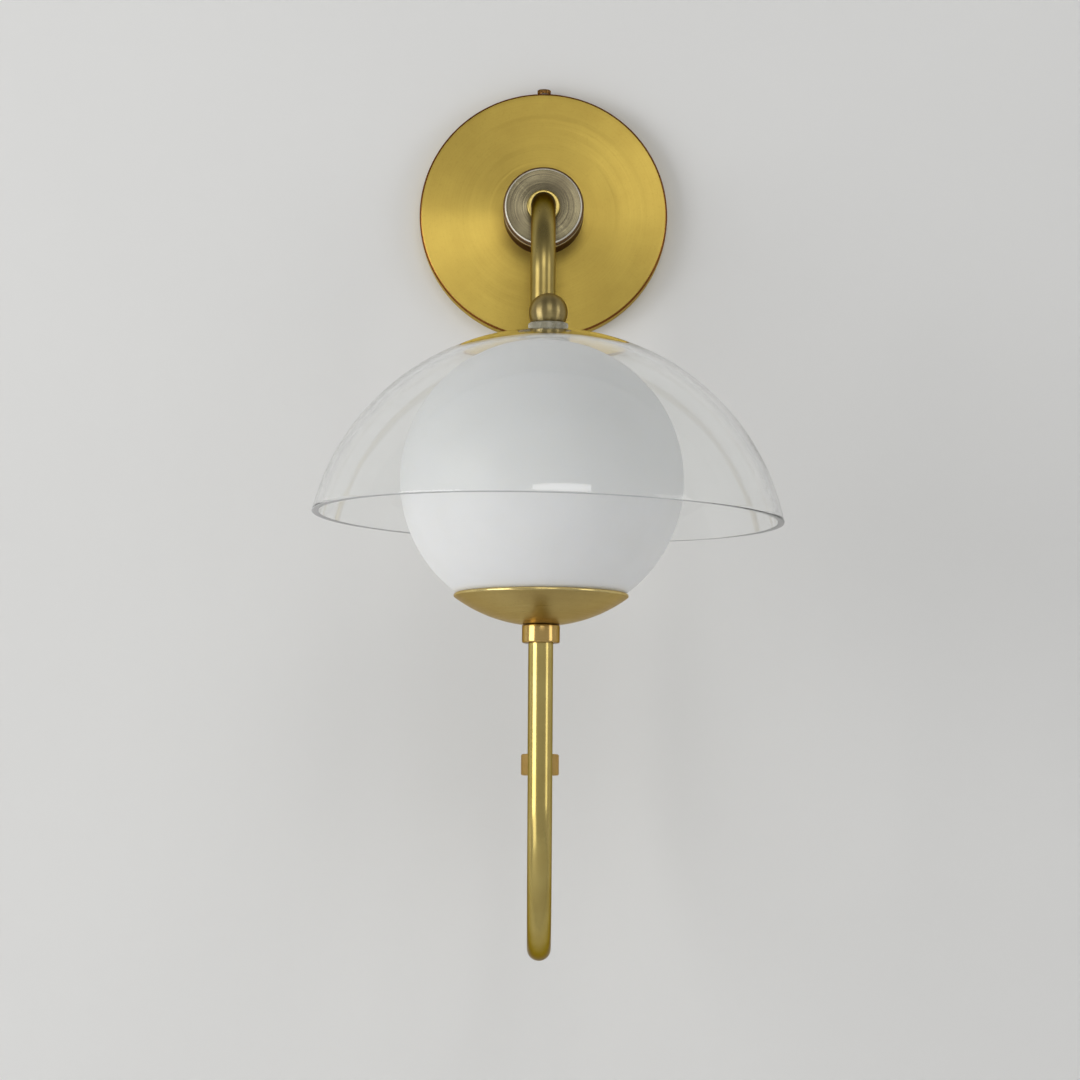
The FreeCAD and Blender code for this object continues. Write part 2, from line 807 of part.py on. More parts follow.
def make_front_collar(doc, s):
    """Collar under the cup, over the top of the arm."""
    outer = s.collar_diameter / 2
    socket = s.front_tube_radius + s.fit_gap
    hole = s.lamp_thread_hole_radius
    edge = s.collar_chamfer
    corners = [
        (socket, -s.collar_bottom),
        (outer - edge, -s.collar_bottom),
        (outer, edge - s.collar_bottom),
        (outer, -s.collar_top),
        (hole, -s.collar_top),
        (hole, -s.collar_tube_end),
        (socket, -s.collar_tube_end),
    ]
    return make_turned(doc, "front_collar", corners, (ZERO, -s.front_reach, ZERO))


# Cup


def make_cup_nipple(doc, s):
    """Threaded tube from the arm up through the collar and the cup's floor."""
    bottom = s.collar_tube_end + s.lamp_thread_overlap
    return make_ring(
        doc, "cup_nipple", s.lamp_thread_bore / 2, s.lamp_thread_radius, -bottom, -s.cup_nipple_top,
        (ZERO, -s.front_reach, ZERO),
    )


def make_cup_lock_washer(doc, s):
    """Washer on the cup's floor."""
    return make_ring(
        doc, "cup_lock_washer", s.lamp_thread_hole_radius, s.lock_washer_diameter / 2,
        -s.cup_washer_bottom, -s.cup_washer_top, (ZERO, -s.front_reach, ZERO),
    )


def make_cup(doc, s):
    """Spun brass cup, part of a sphere round the globe's centre, with a rolled lip."""
    body = make_body(doc, "cup", (ZERO, -s.front_reach, -s.globe_centre_height))
    hole = s.lamp_thread_hole_radius
    lip_reach = s.globe_outer_radius + s.glass_gap + s.cup_lip_radius
    lip_across = leg(lip_reach, s.cup_lip_depth)
    outer_share = s.cup_outer_radius / lip_reach
    inner_share = s.cup_inner_radius / lip_reach
    turn_outline(
        body,
        [
            (hole, -leg(s.cup_outer_radius, hole), s.cup_outer_radius, ANTICLOCKWISE),
            (lip_across * outer_share, -(s.cup_lip_depth * outer_share)),
            (lip_across * inner_share, -(s.cup_lip_depth * inner_share), s.cup_inner_radius, CLOCKWISE),
            (hole, -leg(s.cup_inner_radius, hole)),
        ],
        name="bowl",
    )
    lip = make_sketch(body, "XZ_Plane", "lip")
    draw_circle(lip, lip_across, -s.cup_lip_depth, s.cup_lip_radius)
    revolve(body, lip, "lip")
    return body


def make_globe_gasket(doc, s):
    """Silicone ring in the cup on which the globe rests."""
    outer = s.cup_inner_radius - s.running_gap
    inner = s.globe_outer_radius + s.glass_gap
    near = s.gasket_inner_radius
    far = s.gasket_outer_radius
    corners = [
        (near, -leg(outer, near), outer, ANTICLOCKWISE),
        (far, -leg(outer, far)),
        (far, -leg(inner, far), inner, CLOCKWISE),
        (near, -leg(inner, near)),
    ]
    return make_turned(
        doc, "globe_gasket", corners, (ZERO, -s.front_reach, -s.globe_centre_height)
    )


# Lamp inside the globe


def make_lampholder_bracket(doc, s):
    """Hat-shaped strip clamped on the cup's floor that carries the lampholder."""
    body = make_body(doc, "lampholder_bracket", (ZERO, -s.front_reach, -s.cup_washer_top))
    half = s.bracket_span / 2
    tab = half + s.bracket_tab
    sheet = s.bracket_sheet
    high = s.bracket_height
    bent = make_sketch(body, "XZ_Plane", "bent_strip", offset=s.bracket_width / -2)
    draw_outline(
        bent,
        [
            (-half, ZERO),
            (half, ZERO),
            (half, high - sheet),
            (tab, high - sheet),
            (tab, high),
            (half - sheet, high),
            (half - sheet, sheet),
            (sheet - half, sheet),
            (sheet - half, high),
            (-tab, high),
            (-tab, high - sheet),
            (-half, high - sheet),
        ],
    )
    pad(body, bent, s.bracket_width)
    holes = make_sketch(body, "XY_Plane", "screw_holes")
    screw = s.lampholder_screw_diameter / 2 + s.fit_gap
    place_x = lampholder_screw_place(s)
    draw_circle(holes, ZERO, ZERO, s.lamp_thread_hole_radius)
    draw_circle(holes, place_x, ZERO, screw)
    draw_circle(holes, -place_x, ZERO, screw)
    pocket_through(body, holes)
    return body


def lampholder_screw_place(s):
    """Distance of each lampholder screw from the lamp's axis: the middle of the bracket's tab."""
    return s.bracket_span / 2 + s.bracket_tab / 2


def make_globe_spring(doc, s):
    """Bent strip under the nut whose two upright leaves grip the globe's mouth from inside."""
    body = make_body(doc, "globe_spring", (ZERO, -s.front_reach, -s.bracket_top))
    seat = s.spring_seat_span / 2
    sheet = s.spring_sheet
    leaf = leg(s.globe_mouth_radius - s.glass_gap, s.spring_width / 2)
    rise = s.nut_height + s.lamp_thread_end
    high = rise + s.spring_leaf_height
    bent = make_sketch(body, "YZ_Plane", "bent_strip", offset=s.spring_width / -2)
    draw_outline(
        bent,
        [
            (-seat, ZERO),
            (seat, ZERO),
            (leaf, rise),
            (leaf, high),
            (leaf - sheet, high),
            (leaf - sheet, rise + sheet),
            (seat, sheet),
            (-seat, sheet),
            (sheet - leaf, rise + sheet),
            (sheet - leaf, high),
            (-leaf, high),
            (-leaf, rise),
        ],
    )
    pad(body, bent, s.spring_width)
    disc = make_sketch(body, "XY_Plane", "seat_disc")
    draw_circle(disc, ZERO, ZERO, s.lock_washer_diameter / 2)
    pad(body, disc, sheet)
    hole = make_sketch(body, "XY_Plane", "thread_hole")
    draw_circle(hole, ZERO, ZERO, s.lamp_thread_hole_radius - s.running_gap)
    pocket_through(body, hole)
    return body


def make_lampholder(doc, s):
    """Ceramic lampholder with a flange, two pin slots and two lead holes."""
    body = make_body(doc, "lampholder", (ZERO, -s.front_reach, -s.tab_top))
    tab = s.bracket_span / 2 + s.bracket_tab
    half_width = s.bracket_width / 2
    flange = make_sketch(body, "XY_Plane", "flange")
    draw_rectangle(flange, -tab, -half_width, tab, half_width)
    pad(body, flange, s.lampholder_flange_height)
    barrel = make_sketch(body, "XY_Plane", "barrel")
    draw_circle(barrel, ZERO, ZERO, s.lampholder_diameter / 2)
    pad(body, barrel, s.lampholder_height)
    holes = make_sketch(body, "XY_Plane", "flange_holes")
    place_x = lampholder_screw_place(s)
    for across in (-place_x, place_x):
        draw_circle(holes, across, ZERO, s.lampholder_screw_diameter / 2 + s.fit_gap)
    pocket_through(body, holes)
    leads = make_sketch(body, "XY_Plane", "lead_holes")
    for across in (s.lead_spacing / -2, s.lead_spacing / 2):
        draw_circle(leads, across, ZERO, s.lead_diameter / 2 + s.fit_gap)
    pocket(body, leads, s.lead_entry_depth + s.fit_gap, reverse=True)
    slots = make_sketch(body, "XY_Plane", "pin_slots", offset=s.lampholder_height)
    half_pin = s.pin_width / 2 + s.hole_gap
    half_wire = s.pin_wire / 2 + s.hole_gap
    for across in (s.pin_spacing / -2, s.pin_spacing / 2):
        draw_rectangle(slots, across - half_pin, -half_wire, across + half_pin, half_wire)
    pocket(body, slots, s.pin_length + s.hole_gap)
    return body


def make_lampholder_screws(doc, s):
    """Two screws through the lampholder's flange, as one group of separate solids."""
    radius = s.lampholder_screw_diameter / 2
    head = s.lampholder_screw_head_diameter / 2
    head_bottom = s.lampholder_flange_height
    top = head_bottom + s.lampholder_screw_head_height
    tip = -(s.bracket_sheet + s.lampholder_screw_reach)
    corners = [
        (ZERO, tip),
        (radius, tip),
        (radius, head_bottom),
        (head, head_bottom),
        (head, top),
        (ZERO, top),
    ]
    place_x = lampholder_screw_place(s)
    screws = []
    for side, across in (("left", -place_x), ("right", place_x)):
        base = (across, -s.front_reach, -s.tab_top)
        screws.append(make_turned(doc, f"lampholder_screw_{side}", corners, base))
    return make_group(doc, "lampholder_screws", screws)


def make_group(doc, label, members):
    """One node that holds identical pieces as separate solids."""
    group = doc.addObject("Part::Compound", label)
    group.Label = label
    group.Links = members
    return group


def make_bulb_base(doc, s):
    """Ceramic base of the capsule bulb, with a round socket for its glass."""
    body = make_body(doc, "bulb_base", (ZERO, -s.front_reach, -s.bulb_base_bottom))
    block = make_sketch(body, "XY_Plane", "block")
    half_width = s.bulb_base_width / 2
    half_depth = s.bulb_base_depth / 2
    draw_rectangle(block, -half_width, -half_depth, half_width, half_depth)
    pad(body, block, s.bulb_base_height)
    return body


def make_bulb_pins(doc, s):
    """Two wire loops under the bulb's base, as one group of separate solids."""
    pins = []
    radius = s.pin_width / 2
    for side, across in (("left", s.pin_spacing / -2), ("right", s.pin_spacing / 2)):
        body = make_body(doc, f"bulb_pin_{side}", (across, -s.front_reach, -s.bulb_base_bottom))
        loop = make_sketch(body, "XZ_Plane", "loop", offset=s.pin_wire / -2)
        low = radius - s.pin_length
        inner = radius - s.pin_wire
        draw_outline(
            loop,
            [
                (radius, ZERO),
                (inner, ZERO),
                (inner, low, inner, CLOCKWISE),
                (ZERO, low - inner, inner, CLOCKWISE),
                (-inner, low),
                (-inner, ZERO),
                (-radius, ZERO),
                (-radius, low, radius, ANTICLOCKWISE),
                (ZERO, low - radius, radius, ANTICLOCKWISE),
                (radius, low),
            ],
        )
        pad(body, loop, s.pin_wire)
        pins.append(body)
    return make_group(doc, "bulb_pins", pins)


def make_bulb_glass(doc, s):
    """Clear glass capsule with a round top."""
    outer = s.bulb_diameter / 2
    inner = outer - s.bulb_glass
    high = s.bulb_length
    corners = [
        (inner, ZERO),
        (outer, ZERO),
        (outer, high - outer, outer, ANTICLOCKWISE),
        (ZERO, high),
        (ZERO, high - s.bulb_glass, inner, CLOCKWISE),
        (inner, high - outer),
    ]
    return make_turned(doc, "bulb_glass", corners, (ZERO, -s.front_reach, -s.bulb_base_top))


def make_bulb_core(doc, s):
    """Light source inside the capsule, standing on the base."""
    return make_ring(
        doc, "bulb_core", ZERO, s.bulb_core_diameter / 2, ZERO, s.bulb_core_length,
        (ZERO, -s.front_reach, -s.bulb_base_top),
    )


# Globe and crown


def make_globe(doc, s):
    """Opal glass globe with a plain mouth, a ground seat on top and the bush's hole."""
    body = make_body(doc, "globe", (ZERO, -s.front_reach, -s.globe_centre_height))
    outer = s.globe_outer_radius
    inner = s.globe_inner_radius
    mouth = s.globe_mouth_radius
    seat = outer - s.globe_seat_depth
    turn_outline(
        body,
        [
            (mouth, -leg(outer, mouth), outer, ANTICLOCKWISE),
            (outer, ZERO, outer, ANTICLOCKWISE),
            (leg(outer, seat), seat),
            (ZERO, seat),
            (ZERO, inner, inner, CLOCKWISE),
            (inner, ZERO, inner, CLOCKWISE),
            (mouth, -leg(inner, mouth)),
        ],
    )
    hole = make_sketch(body, "XY_Plane", "bush_hole")
    draw_circle(hole, s.crown_offset, ZERO, s.globe_bush_hole_radius)
    pocket(body, hole, outer, reverse=True)
    return body


def crown_place(s):
    """Where the crown's own axis stands."""
    return (s.crown_offset, -s.front_reach, ZERO)


def make_top_bush(doc, s):
    """Flanged threaded bush in the globe's top, bored for the finial's stem."""
    bore = s.stem_radius + s.running_gap
    outer = s.lamp_thread_radius
    flange = s.bush_flange_diameter / 2
    corners = [
        (bore, -s.bush_bottom),
        (flange, -s.bush_bottom),
        (flange, -s.bush_flange_top),
        (outer, -s.bush_flange_top),
        (outer, -s.bush_top),
        (bore, -s.bush_top),
    ]
    return make_turned(doc, "top_bush", corners, crown_place(s))


def make_bush_washer(doc, s):
    """Silicone washer between the bush's flange and the inside of the globe."""
    return make_ring(
        doc, "bush_washer", s.lamp_thread_hole_radius, s.bush_washer_diameter / 2,
        -s.bush_flange_top, -s.bush_washer_top, crown_place(s),
    )


def make_bush_nut(doc, s):
    """Thin round nut that holds the bush from outside."""
    return make_ring(
        doc, "bush_nut", s.lamp_thread_radius + s.running_gap, s.bush_nut_diameter / 2,
        -s.globe_seat, -s.bush_top, crown_place(s),
    )


def make_dome_pad(doc, s):
    """Clear silicone ring on the globe's crown on which the dome rests."""
    outer = s.pad_outer_diameter / 2
    dome_inside = s.dome_centre_height - leg(s.dome_inner_radius, outer)
    return make_ring(
        doc, "dome_pad", s.pad_inner_diameter / 2, outer, -s.globe_seat,
        -(dome_inside + s.glass_gap), crown_place(s),
    )


def make_dome(doc, s):
    """Clear glass dome, less than half a sphere, with a flat ground rim and a neck ring on top."""
    body = make_body(doc, "dome", (s.crown_offset, -s.front_reach, -s.dome_centre_height))
    outer = s.dome_outer_radius
    inner = s.dome_inner_radius
    bevel = s.dome_rim_edge
    ground = leg(outer, s.dome_rim_radius)
    edge_height = ground + bevel
    outer_across = leg(outer, edge_height)
    inner_across = leg(inner, edge_height)
    turn_outline(
        body,
        [
            (outer_across, edge_height, outer, ANTICLOCKWISE),
            (ZERO, outer),
            (ZERO, inner, inner, CLOCKWISE),
            (inner_across, edge_height),
            (inner_across + bevel, ground),
            (outer_across - bevel, ground),
        ],
        name="bowl",
        tilt=-s.dome_rim_tilt,
    )
    neck_outer = s.dome_neck_diameter / 2
    neck_inner = s.dome_neck_bore_diameter / 2
    edge = (neck_outer - neck_inner) / 2
    top = outer + s.dome_neck_height
    turn_outline(
        body,
        [
            (neck_inner, outer - s.dome_wall / 2),
            (neck_outer, outer - s.dome_wall / 2),
            (neck_outer, top - edge, edge, ANTICLOCKWISE),
            (neck_outer - edge, top, edge, ANTICLOCKWISE),
            (neck_inner, top - edge),
        ],
        name="neck",
    )
    hole = make_sketch(body, "XY_Plane", "neck_hole")
    draw_circle(hole, ZERO, ZERO, s.dome_neck_hole_diameter / 2)
    pocket(body, hole, outer + s.dome_neck_height, reverse=True)
    return body


def make_finial_washer(doc, s):
    """Soft washer between the ball and the dome."""
    return make_ring(
        doc, "finial_washer", s.stem_radius + s.running_gap, s.finial_washer_diameter / 2,
        -(s.dome_top - s.glass_gap), -s.finial_seat, crown_place(s),
    )


def make_finial(doc, s):
    """Ball finial with a flat seat and the threaded stem that holds the dome down."""
    radius = s.finial_radius
    seat_across = leg(radius, s.finial_seat_depth)
    tip = s.bush_bottom + s.finial_stem_reach - s.finial_centre_height
    corners = [
        (ZERO, -tip),
        (s.stem_radius, -tip),
        (s.stem_radius, -s.finial_seat_depth),
        (seat_across, -s.finial_seat_depth, radius, ANTICLOCKWISE),
        (radius, ZERO, radius, ANTICLOCKWISE),
        (ZERO, radius),
    ]
    base = (s.crown_offset, -s.front_reach, -s.finial_centre_height)
    return make_turned(doc, "finial", corners, base)


# Wiring


def rounded_route(points, radii):
    """Straight runs joined by tangent arcs, as one wire."""
    edges = []
    last = points[0]
    for before, corner, after, radius in zip(points, points[1:], points[2:], radii):
        arriving = (corner - before).normalize()
        leaving = (after - corner).normalize()
        half_turn = arriving.getAngle(leaving) / 2
        start = corner - arriving * (radius * math.tan(half_turn))
        end = corner + leaving * (radius * math.tan(half_turn))
        inward = (leaving - arriving).normalize()
        middle = corner + inward * (radius / math.cos(half_turn) - radius)
        if not last.isEqual(start, SAME_POINT):
            edges.append(Part.LineSegment(last, start).toShape())
        edges.append(Part.Arc(start, middle, end).toShape())
        last = end
    edges.append(Part.LineSegment(last, points[-1]).toShape())
    return Part.Wire(edges)


def lead_solid(points, radii, diameter):
    """A round insulated lead along a route."""
    route = rounded_route(points, radii)
    direction = points[1] - points[0]
    circle = Part.Circle(points[0], direction, diameter / 2)
    section = Part.Wire([circle.toShape()])
    solid = route.makePipeShell([section], True, False)
    wanted = math.pi * (diameter / 2) ** 2 * route.Length
    print(f"lead length {route.Length:.1f} mm, radii {radii}, volume share {solid.Volume / wanted:.4f}")
    return solid


def add_feature(doc, label, shape):
    """A piece whose shape has no bound feature of its own."""
    feature = doc.addObject("Part::Feature", label)
    feature.Label = label
    feature.Shape = shape
    feature.Placement = FreeCAD.Placement()
    return feature


def make_lead(doc, s, label, side):
    """
    One lamp lead: from the terminal block down the canopy, through the hub and the arm to the
    lampholder.
    """
    across = s.lead_spacing.value / 2 * side
    block_across = s.terminal_spacing.value / 2 * side
    strap_y = -(s.crossbar_sheet.value + s.terminal_block_depth.value / 2)
    block_bottom = terminal_block_bottom(s).value
    rear_y = -s.rear_reach.value
    front_y = -s.front_reach.value
    bottom = -(s.return_bend_height.value + s.return_radius.value)
    turn = s.lead_turn_radius.value
    bend = s.return_radius.value
    points = [
        FreeCAD.Vector(block_across, strap_y, block_bottom + s.lead_entry_depth.value),
        FreeCAD.Vector(block_across, strap_y, block_bottom - turn * 3),
        FreeCAD.Vector(across, strap_y, turn * 2),
        FreeCAD.Vector(across, strap_y, 0),
        FreeCAD.Vector(across, rear_y, 0),
        FreeCAD.Vector(across, rear_y, bottom),
        FreeCAD.Vector(across, front_y, bottom),
        FreeCAD.Vector(across, front_y, -(s.tab_top.value - s.lead_entry_depth.value)),
    ]
    radii = [turn * 3, turn * 3, turn, s.elbow_radius.value, bend, bend]
    return add_feature(doc, label, lead_solid(points, radii, s.lead_diameter.value))


def make_earth_lead(doc, s):
    """Short lead from the earth screw's eyelet to the tag under the hub's nut."""
    radius = s.lead_diameter.value / 2
    sheet = s.eyelet_sheet.value
    strap_y = -s.crossbar_sheet.value
    screw_z = -s.ground_screw_height.value
    eyelet = s.eyelet_diameter.value / 2
    tag_y = -(s.canopy_inner_face.value - s.lock_washer_sheet.value)
    tag_end = -s.earth_tag_reach.value
    low_y = strap_y - radius
    high_y = tag_y + radius
    turn = s.lead_turn_radius.value
    points = [
        FreeCAD.Vector(0, low_y, screw_z + s.ground_screw_head_diameter.value / 2 + s.fit_gap.value),
        FreeCAD.Vector(0, low_y, tag_end - turn * 4),
        FreeCAD.Vector(0, high_y, tag_end - turn),
        FreeCAD.Vector(0, high_y, tag_end + turn),
    ]
    lead = lead_solid(points, [turn, turn], s.lead_diameter.value)
    centre = FreeCAD.Vector(0, strap_y, screw_z)
    disc = Part.makeCylinder(eyelet, sheet, centre, -Y_AXIS)
    hole = Part.makeCylinder(
        s.ground_screw_diameter.value / 2 + s.fit_gap.value, sheet, centre, -Y_AXIS
    )
    return add_feature(doc, "earth_lead", lead.fuse(disc).cut(hole).removeSplitter())


def terminal_block_bottom(s):
    """Height of the terminal block's lower face above the hub's axis."""
    return s.wall_screw_spacing_most / 2 + s.wall_slot_width / 2 + s.terminal_block_gap


def make_terminal_block(doc, s):
    """Plastic terminal block on the strap, with two lead holes and two screw holes."""
    body = make_body(doc, "terminal_block")
    bottom = terminal_block_bottom(s)
    top = bottom + s.terminal_block_height
    half = s.terminal_block_width / 2
    block = make_sketch(body, "XZ_Plane", "block", offset=s.crossbar_sheet)
    draw_rectangle(block, -half, bottom, half, top)
    pad(body, block, s.terminal_block_depth)
    places = (s.terminal_spacing / -2, s.terminal_spacing / 2)
    leads = make_sketch(body, "XY_Plane", "lead_holes", offset=bottom)
    middle = s.crossbar_sheet + s.terminal_block_depth / 2
    for across in places:
        draw_circle(leads, across, -middle, s.lead_diameter / 2 + s.fit_gap)
    pocket(body, leads, s.lead_entry_depth + s.fit_gap, reverse=True)
    screws = make_sketch(body, "XZ_Plane", "screw_holes", offset=s.crossbar_sheet + s.terminal_block_depth)
    for across in places:
        draw_circle(
            screws, across, top - s.terminal_screw_diameter,
            s.terminal_screw_diameter / 2 + s.fit_gap,
        )
    pocket(body, screws, s.terminal_screw_length + s.fit_gap)
    return body


def make_terminal_screws(doc, s):
    """The terminal block's two screws, as one group of separate solids."""
    screws = []
    high = terminal_block_bottom(s) + s.terminal_block_height - s.terminal_screw_diameter
    face = s.crossbar_sheet + s.terminal_block_depth
    for side, across in (("left", s.terminal_spacing / -2), ("right", s.terminal_spacing / 2)):
        screws.append(
            make_ring(
                doc, f"terminal_screw_{side}", ZERO, s.terminal_screw_diameter / 2,
                face - s.terminal_screw_length, face, (across, ZERO, high), INTO_ROOM,
            )
        )
    return make_group(doc, "terminal_screws", screws)


def make_pieces(doc, s):
    """Build every sub-part and return them in order, from the wall outwards."""
    pieces = [
        make_crossbar(doc, s),
        make_ground_screw(doc, s),
        make_canopy(doc, s),
    ]
    for end, rotation in (("top", UPRIGHT), ("bottom", UPSIDE_DOWN)):
        pieces.append(make_thumbscrew(doc, s, end, rotation))
        pieces.append(make_thumbscrew_washer(doc, s, end, rotation))
    washer_bottom = s.canopy_inner_face - s.lock_washer_sheet
    pieces += [
        make_hub(doc, s),
        make_hub_bushing(doc, s),
        make_hub_nipple(doc, s),
        make_hub_earth_washer(doc, s),
        make_nut(doc, s, "hub_nut", washer_bottom - s.nut_height, rotation=INTO_ROOM),
        make_rear_arm(doc, s),
        make_coupling_ring(doc, s),
        make_coupling_nipple(doc, s),
        make_front_arm(doc, s),
        make_front_collar(doc, s),
        make_cup_nipple(doc, s),
        make_cup_lock_washer(doc, s),
        make_nut(doc, s, "cup_nut", -s.spring_seat_top, (ZERO, -s.front_reach, ZERO)),
        make_cup(doc, s),
        make_globe_gasket(doc, s),
        make_lampholder_bracket(doc, s),
        make_globe_spring(doc, s),
        make_lampholder(doc, s),
        make_lampholder_screws(doc, s),
        make_bulb_base(doc, s),
        make_bulb_pins(doc, s),
        make_bulb_glass(doc, s),
        make_bulb_core(doc, s),
        make_globe(doc, s),
        make_top_bush(doc, s),
        make_bush_washer(doc, s),
        make_bush_nut(doc, s),
        make_dome_pad(doc, s),
        make_dome(doc, s),
        make_finial_washer(doc, s),
        make_finial(doc, s),
        make_terminal_block(doc, s),
        make_terminal_screws(doc, s),
        make_lead(doc, s, "lead_live", ANTICLOCKWISE),
        make_lead(doc, s, "lead_neutral", CLOCKWISE),
        make_earth_lead(doc, s),
    ]
    return pieces


def check_document(doc, pieces):
    """Stop with a message when any object failed or any piece has no sound shape."""
    for thing in doc.Objects:
        if "Invalid" in thing.State or "Error" in thing.State:
            raise RuntimeError(f"{thing.Label} failed: {thing.State}")
        if thing.TypeId == "Sketcher::SketchObject" and thing.solve() != 0:
            raise RuntimeError(f"{thing.Label} is not solved")
    for piece in pieces:
        if piece.Shape.isNull() or not piece.Shape.isValid() or piece.Shape.Volume <= 0:
            raise RuntimeError(f"{piece.Label} has no sound shape")


def write_pieces(pieces):
    """Write one STEP file for each sub-part."""
    os.makedirs("parts", exist_ok=True)
    for piece in pieces:
        piece.Shape.exportStep(os.path.join("parts", f"{piece.Label}.step"))


def main():
    """Build the sconce and write its pieces."""
    doc = FreeCAD.newDocument("WallSconce")
    sizes = Sizes(make_sheet(doc))
    pieces = make_pieces(doc, sizes)
    doc.recompute()
    check_document(doc, pieces)
    write_pieces(pieces)
    print(f"{len(pieces)} pieces written")


main()
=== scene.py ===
"""Wall sconce: an opal globe in a brass cup under a clear glass dome, on a J-shaped brass arm.

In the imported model's frame +Z is up, the wall is the plane y = 0 and the room lies towards -Y.
Lengths are in millimetres, and Blender's own data in metres, unless a line says otherwise.
"""
import logging
import math
from collections.abc import Callable, Sequence
from dataclasses import dataclass
from enum import Enum

import bmesh
import bpy
from mathutils import Matrix, Vector


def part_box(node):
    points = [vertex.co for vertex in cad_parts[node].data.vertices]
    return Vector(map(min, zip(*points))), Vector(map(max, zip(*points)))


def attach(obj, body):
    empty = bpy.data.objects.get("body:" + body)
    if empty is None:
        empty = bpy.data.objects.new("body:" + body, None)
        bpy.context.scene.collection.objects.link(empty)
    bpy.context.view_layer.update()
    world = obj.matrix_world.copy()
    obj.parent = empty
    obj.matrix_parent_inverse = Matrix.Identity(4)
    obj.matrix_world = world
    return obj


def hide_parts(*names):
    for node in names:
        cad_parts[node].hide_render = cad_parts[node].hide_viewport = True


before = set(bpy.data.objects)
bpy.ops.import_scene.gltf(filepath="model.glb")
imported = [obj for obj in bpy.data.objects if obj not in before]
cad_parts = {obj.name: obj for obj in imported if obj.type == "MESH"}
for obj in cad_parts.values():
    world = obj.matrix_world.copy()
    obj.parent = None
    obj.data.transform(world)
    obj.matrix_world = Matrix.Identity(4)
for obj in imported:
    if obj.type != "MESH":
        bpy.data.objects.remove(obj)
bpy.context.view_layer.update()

MM = 0.001
FULL_TURN = 2 * math.pi
SHARP_ANGLE = 32.0
CLEAR = (1.0, 1.0, 1.0)
POLE = 1e-4
CENTRE = (0.0, 0.0)
TINY = 1e-6
LOG = logging.getLogger("wall_sconce")

Object, Material = bpy.types.Object, bpy.types.Material
Node, Socket = bpy.types.Node, bpy.types.NodeSocket
Screen = tuple[int, int, int]
Colour = Place = tuple[float, float, float]
Pair = tuple[float, float]
Outline = list[Pair]
Station = tuple[Vector, Vector]


def linear(screen: Screen) -> Colour:
    """Turn a screen colour into the linear colour that shaders take.

    Args:
        screen: its red, green and blue levels, 0 to 255.

    Returns:
        The linear colour.
    """
    levels = [value / 255 for value in screen]
    return tuple(
        level / 12.92 if level <= 0.04045 else ((level + 0.055) / 1.055) ** 2.4 for level in levels
    )


class Axis(Enum):
    """The direction that a turned piece's heights run in."""

    UP = (0.0, 0.0, 1.0)
    DOWN = (0.0, 0.0, -1.0)
    ROOM = (0.0, -1.0, 0.0)

    @property
    def vector(self) -> Vector:
        """The axis as a vector."""
        return Vector(self.value)

    @property
    def across(self) -> tuple[Vector, Vector]:
        """Two directions square to the axis, right-handed with it."""
        first = Vector((1.0, 0.0, 0.0))
        return first, self.vector.cross(first)

    @property
    def tangent_letter(self) -> str:
        """The letter that a tangent node uses for this axis."""
        return "Y" if self is Axis.ROOM else "Z"


# Outlines


def arc(centre: Pair, radius: float, start: float, end: float, steps: int) -> Outline:
    """Points along an arc in the plane of radius and height.

    Args:
        centre: the arc's centre, as radius and height.
        radius: the arc's radius.
        start: angle of the first point in degrees, from the outward direction.
        end: angle of the last point in degrees.
        steps: how many parts the arc is divided into.

    Returns:
        The points, both ends included.
    """
    points = []
    for step in range(steps + 1):
        angle = math.radians(start + (end - start) * step / steps)
        points.append((centre[0] + radius * math.cos(angle), centre[1] + radius * math.sin(angle)))
    return points


def eased(corners: Sequence[tuple[float, ...]], steps: int = 5) -> Outline:
    """Round the corners of a closed outline.

    Args:
        corners: radius, height and, where the corner is rounded, its rounding.
        steps: how many parts each rounding is divided into.

    Returns:
        The outline with an arc at each rounded corner.
    """
    points: Outline = []
    count = len(corners)
    for index, corner in enumerate(corners):
        here = Vector(corner[:2])
        if len(corner) < 3:
            points.append((here.x, here.y))
            continue
        before = Vector(corners[index - 1][:2]) - here
        after = Vector(corners[(index + 1) % count][:2]) - here
        before.normalize()
        after.normalize()
        half = before.angle(after) / 2
        run = corner[2] / math.tan(half)
        middle = here + (before + after).normalized() * (corner[2] / math.sin(half))
        first = here + before * run - middle
        turn = first.angle_signed(here + after * run - middle)
        for step in range(steps + 1):
            angle = -turn * step / steps
            spoke = Matrix.Rotation(angle, 2) @ first
            points.append((middle.x + spoke.x, middle.y + spoke.y))
    return points


def leg(longest: float, other: float) -> float:
    """The third side of a right triangle."""
    return math.sqrt(longest * longest - other * other)


def off_axis(spot: Vector) -> float:
    """How far a point is from the wall cover's axis."""
    return math.hypot(spot.x, spot.z)


# Meshes


def put(name: str, data: bpy.types.ID) -> Object:
    """Make an object of some data and put it in the scene.

    Args:
        name: the object's name.
        data: its mesh, lamp or camera.

    Returns:
        The new object.
    """
    made = bpy.data.objects.new(name, data)
    bpy.context.scene.collection.objects.link(made)
    return made


def smooth(mesh: bpy.types.Mesh) -> None:
    """Shade a mesh smooth, apart from its sharp edges."""
    mesh.shade_smooth()
    mesh.set_sharp_from_angle(angle=math.radians(SHARP_ANGLE))


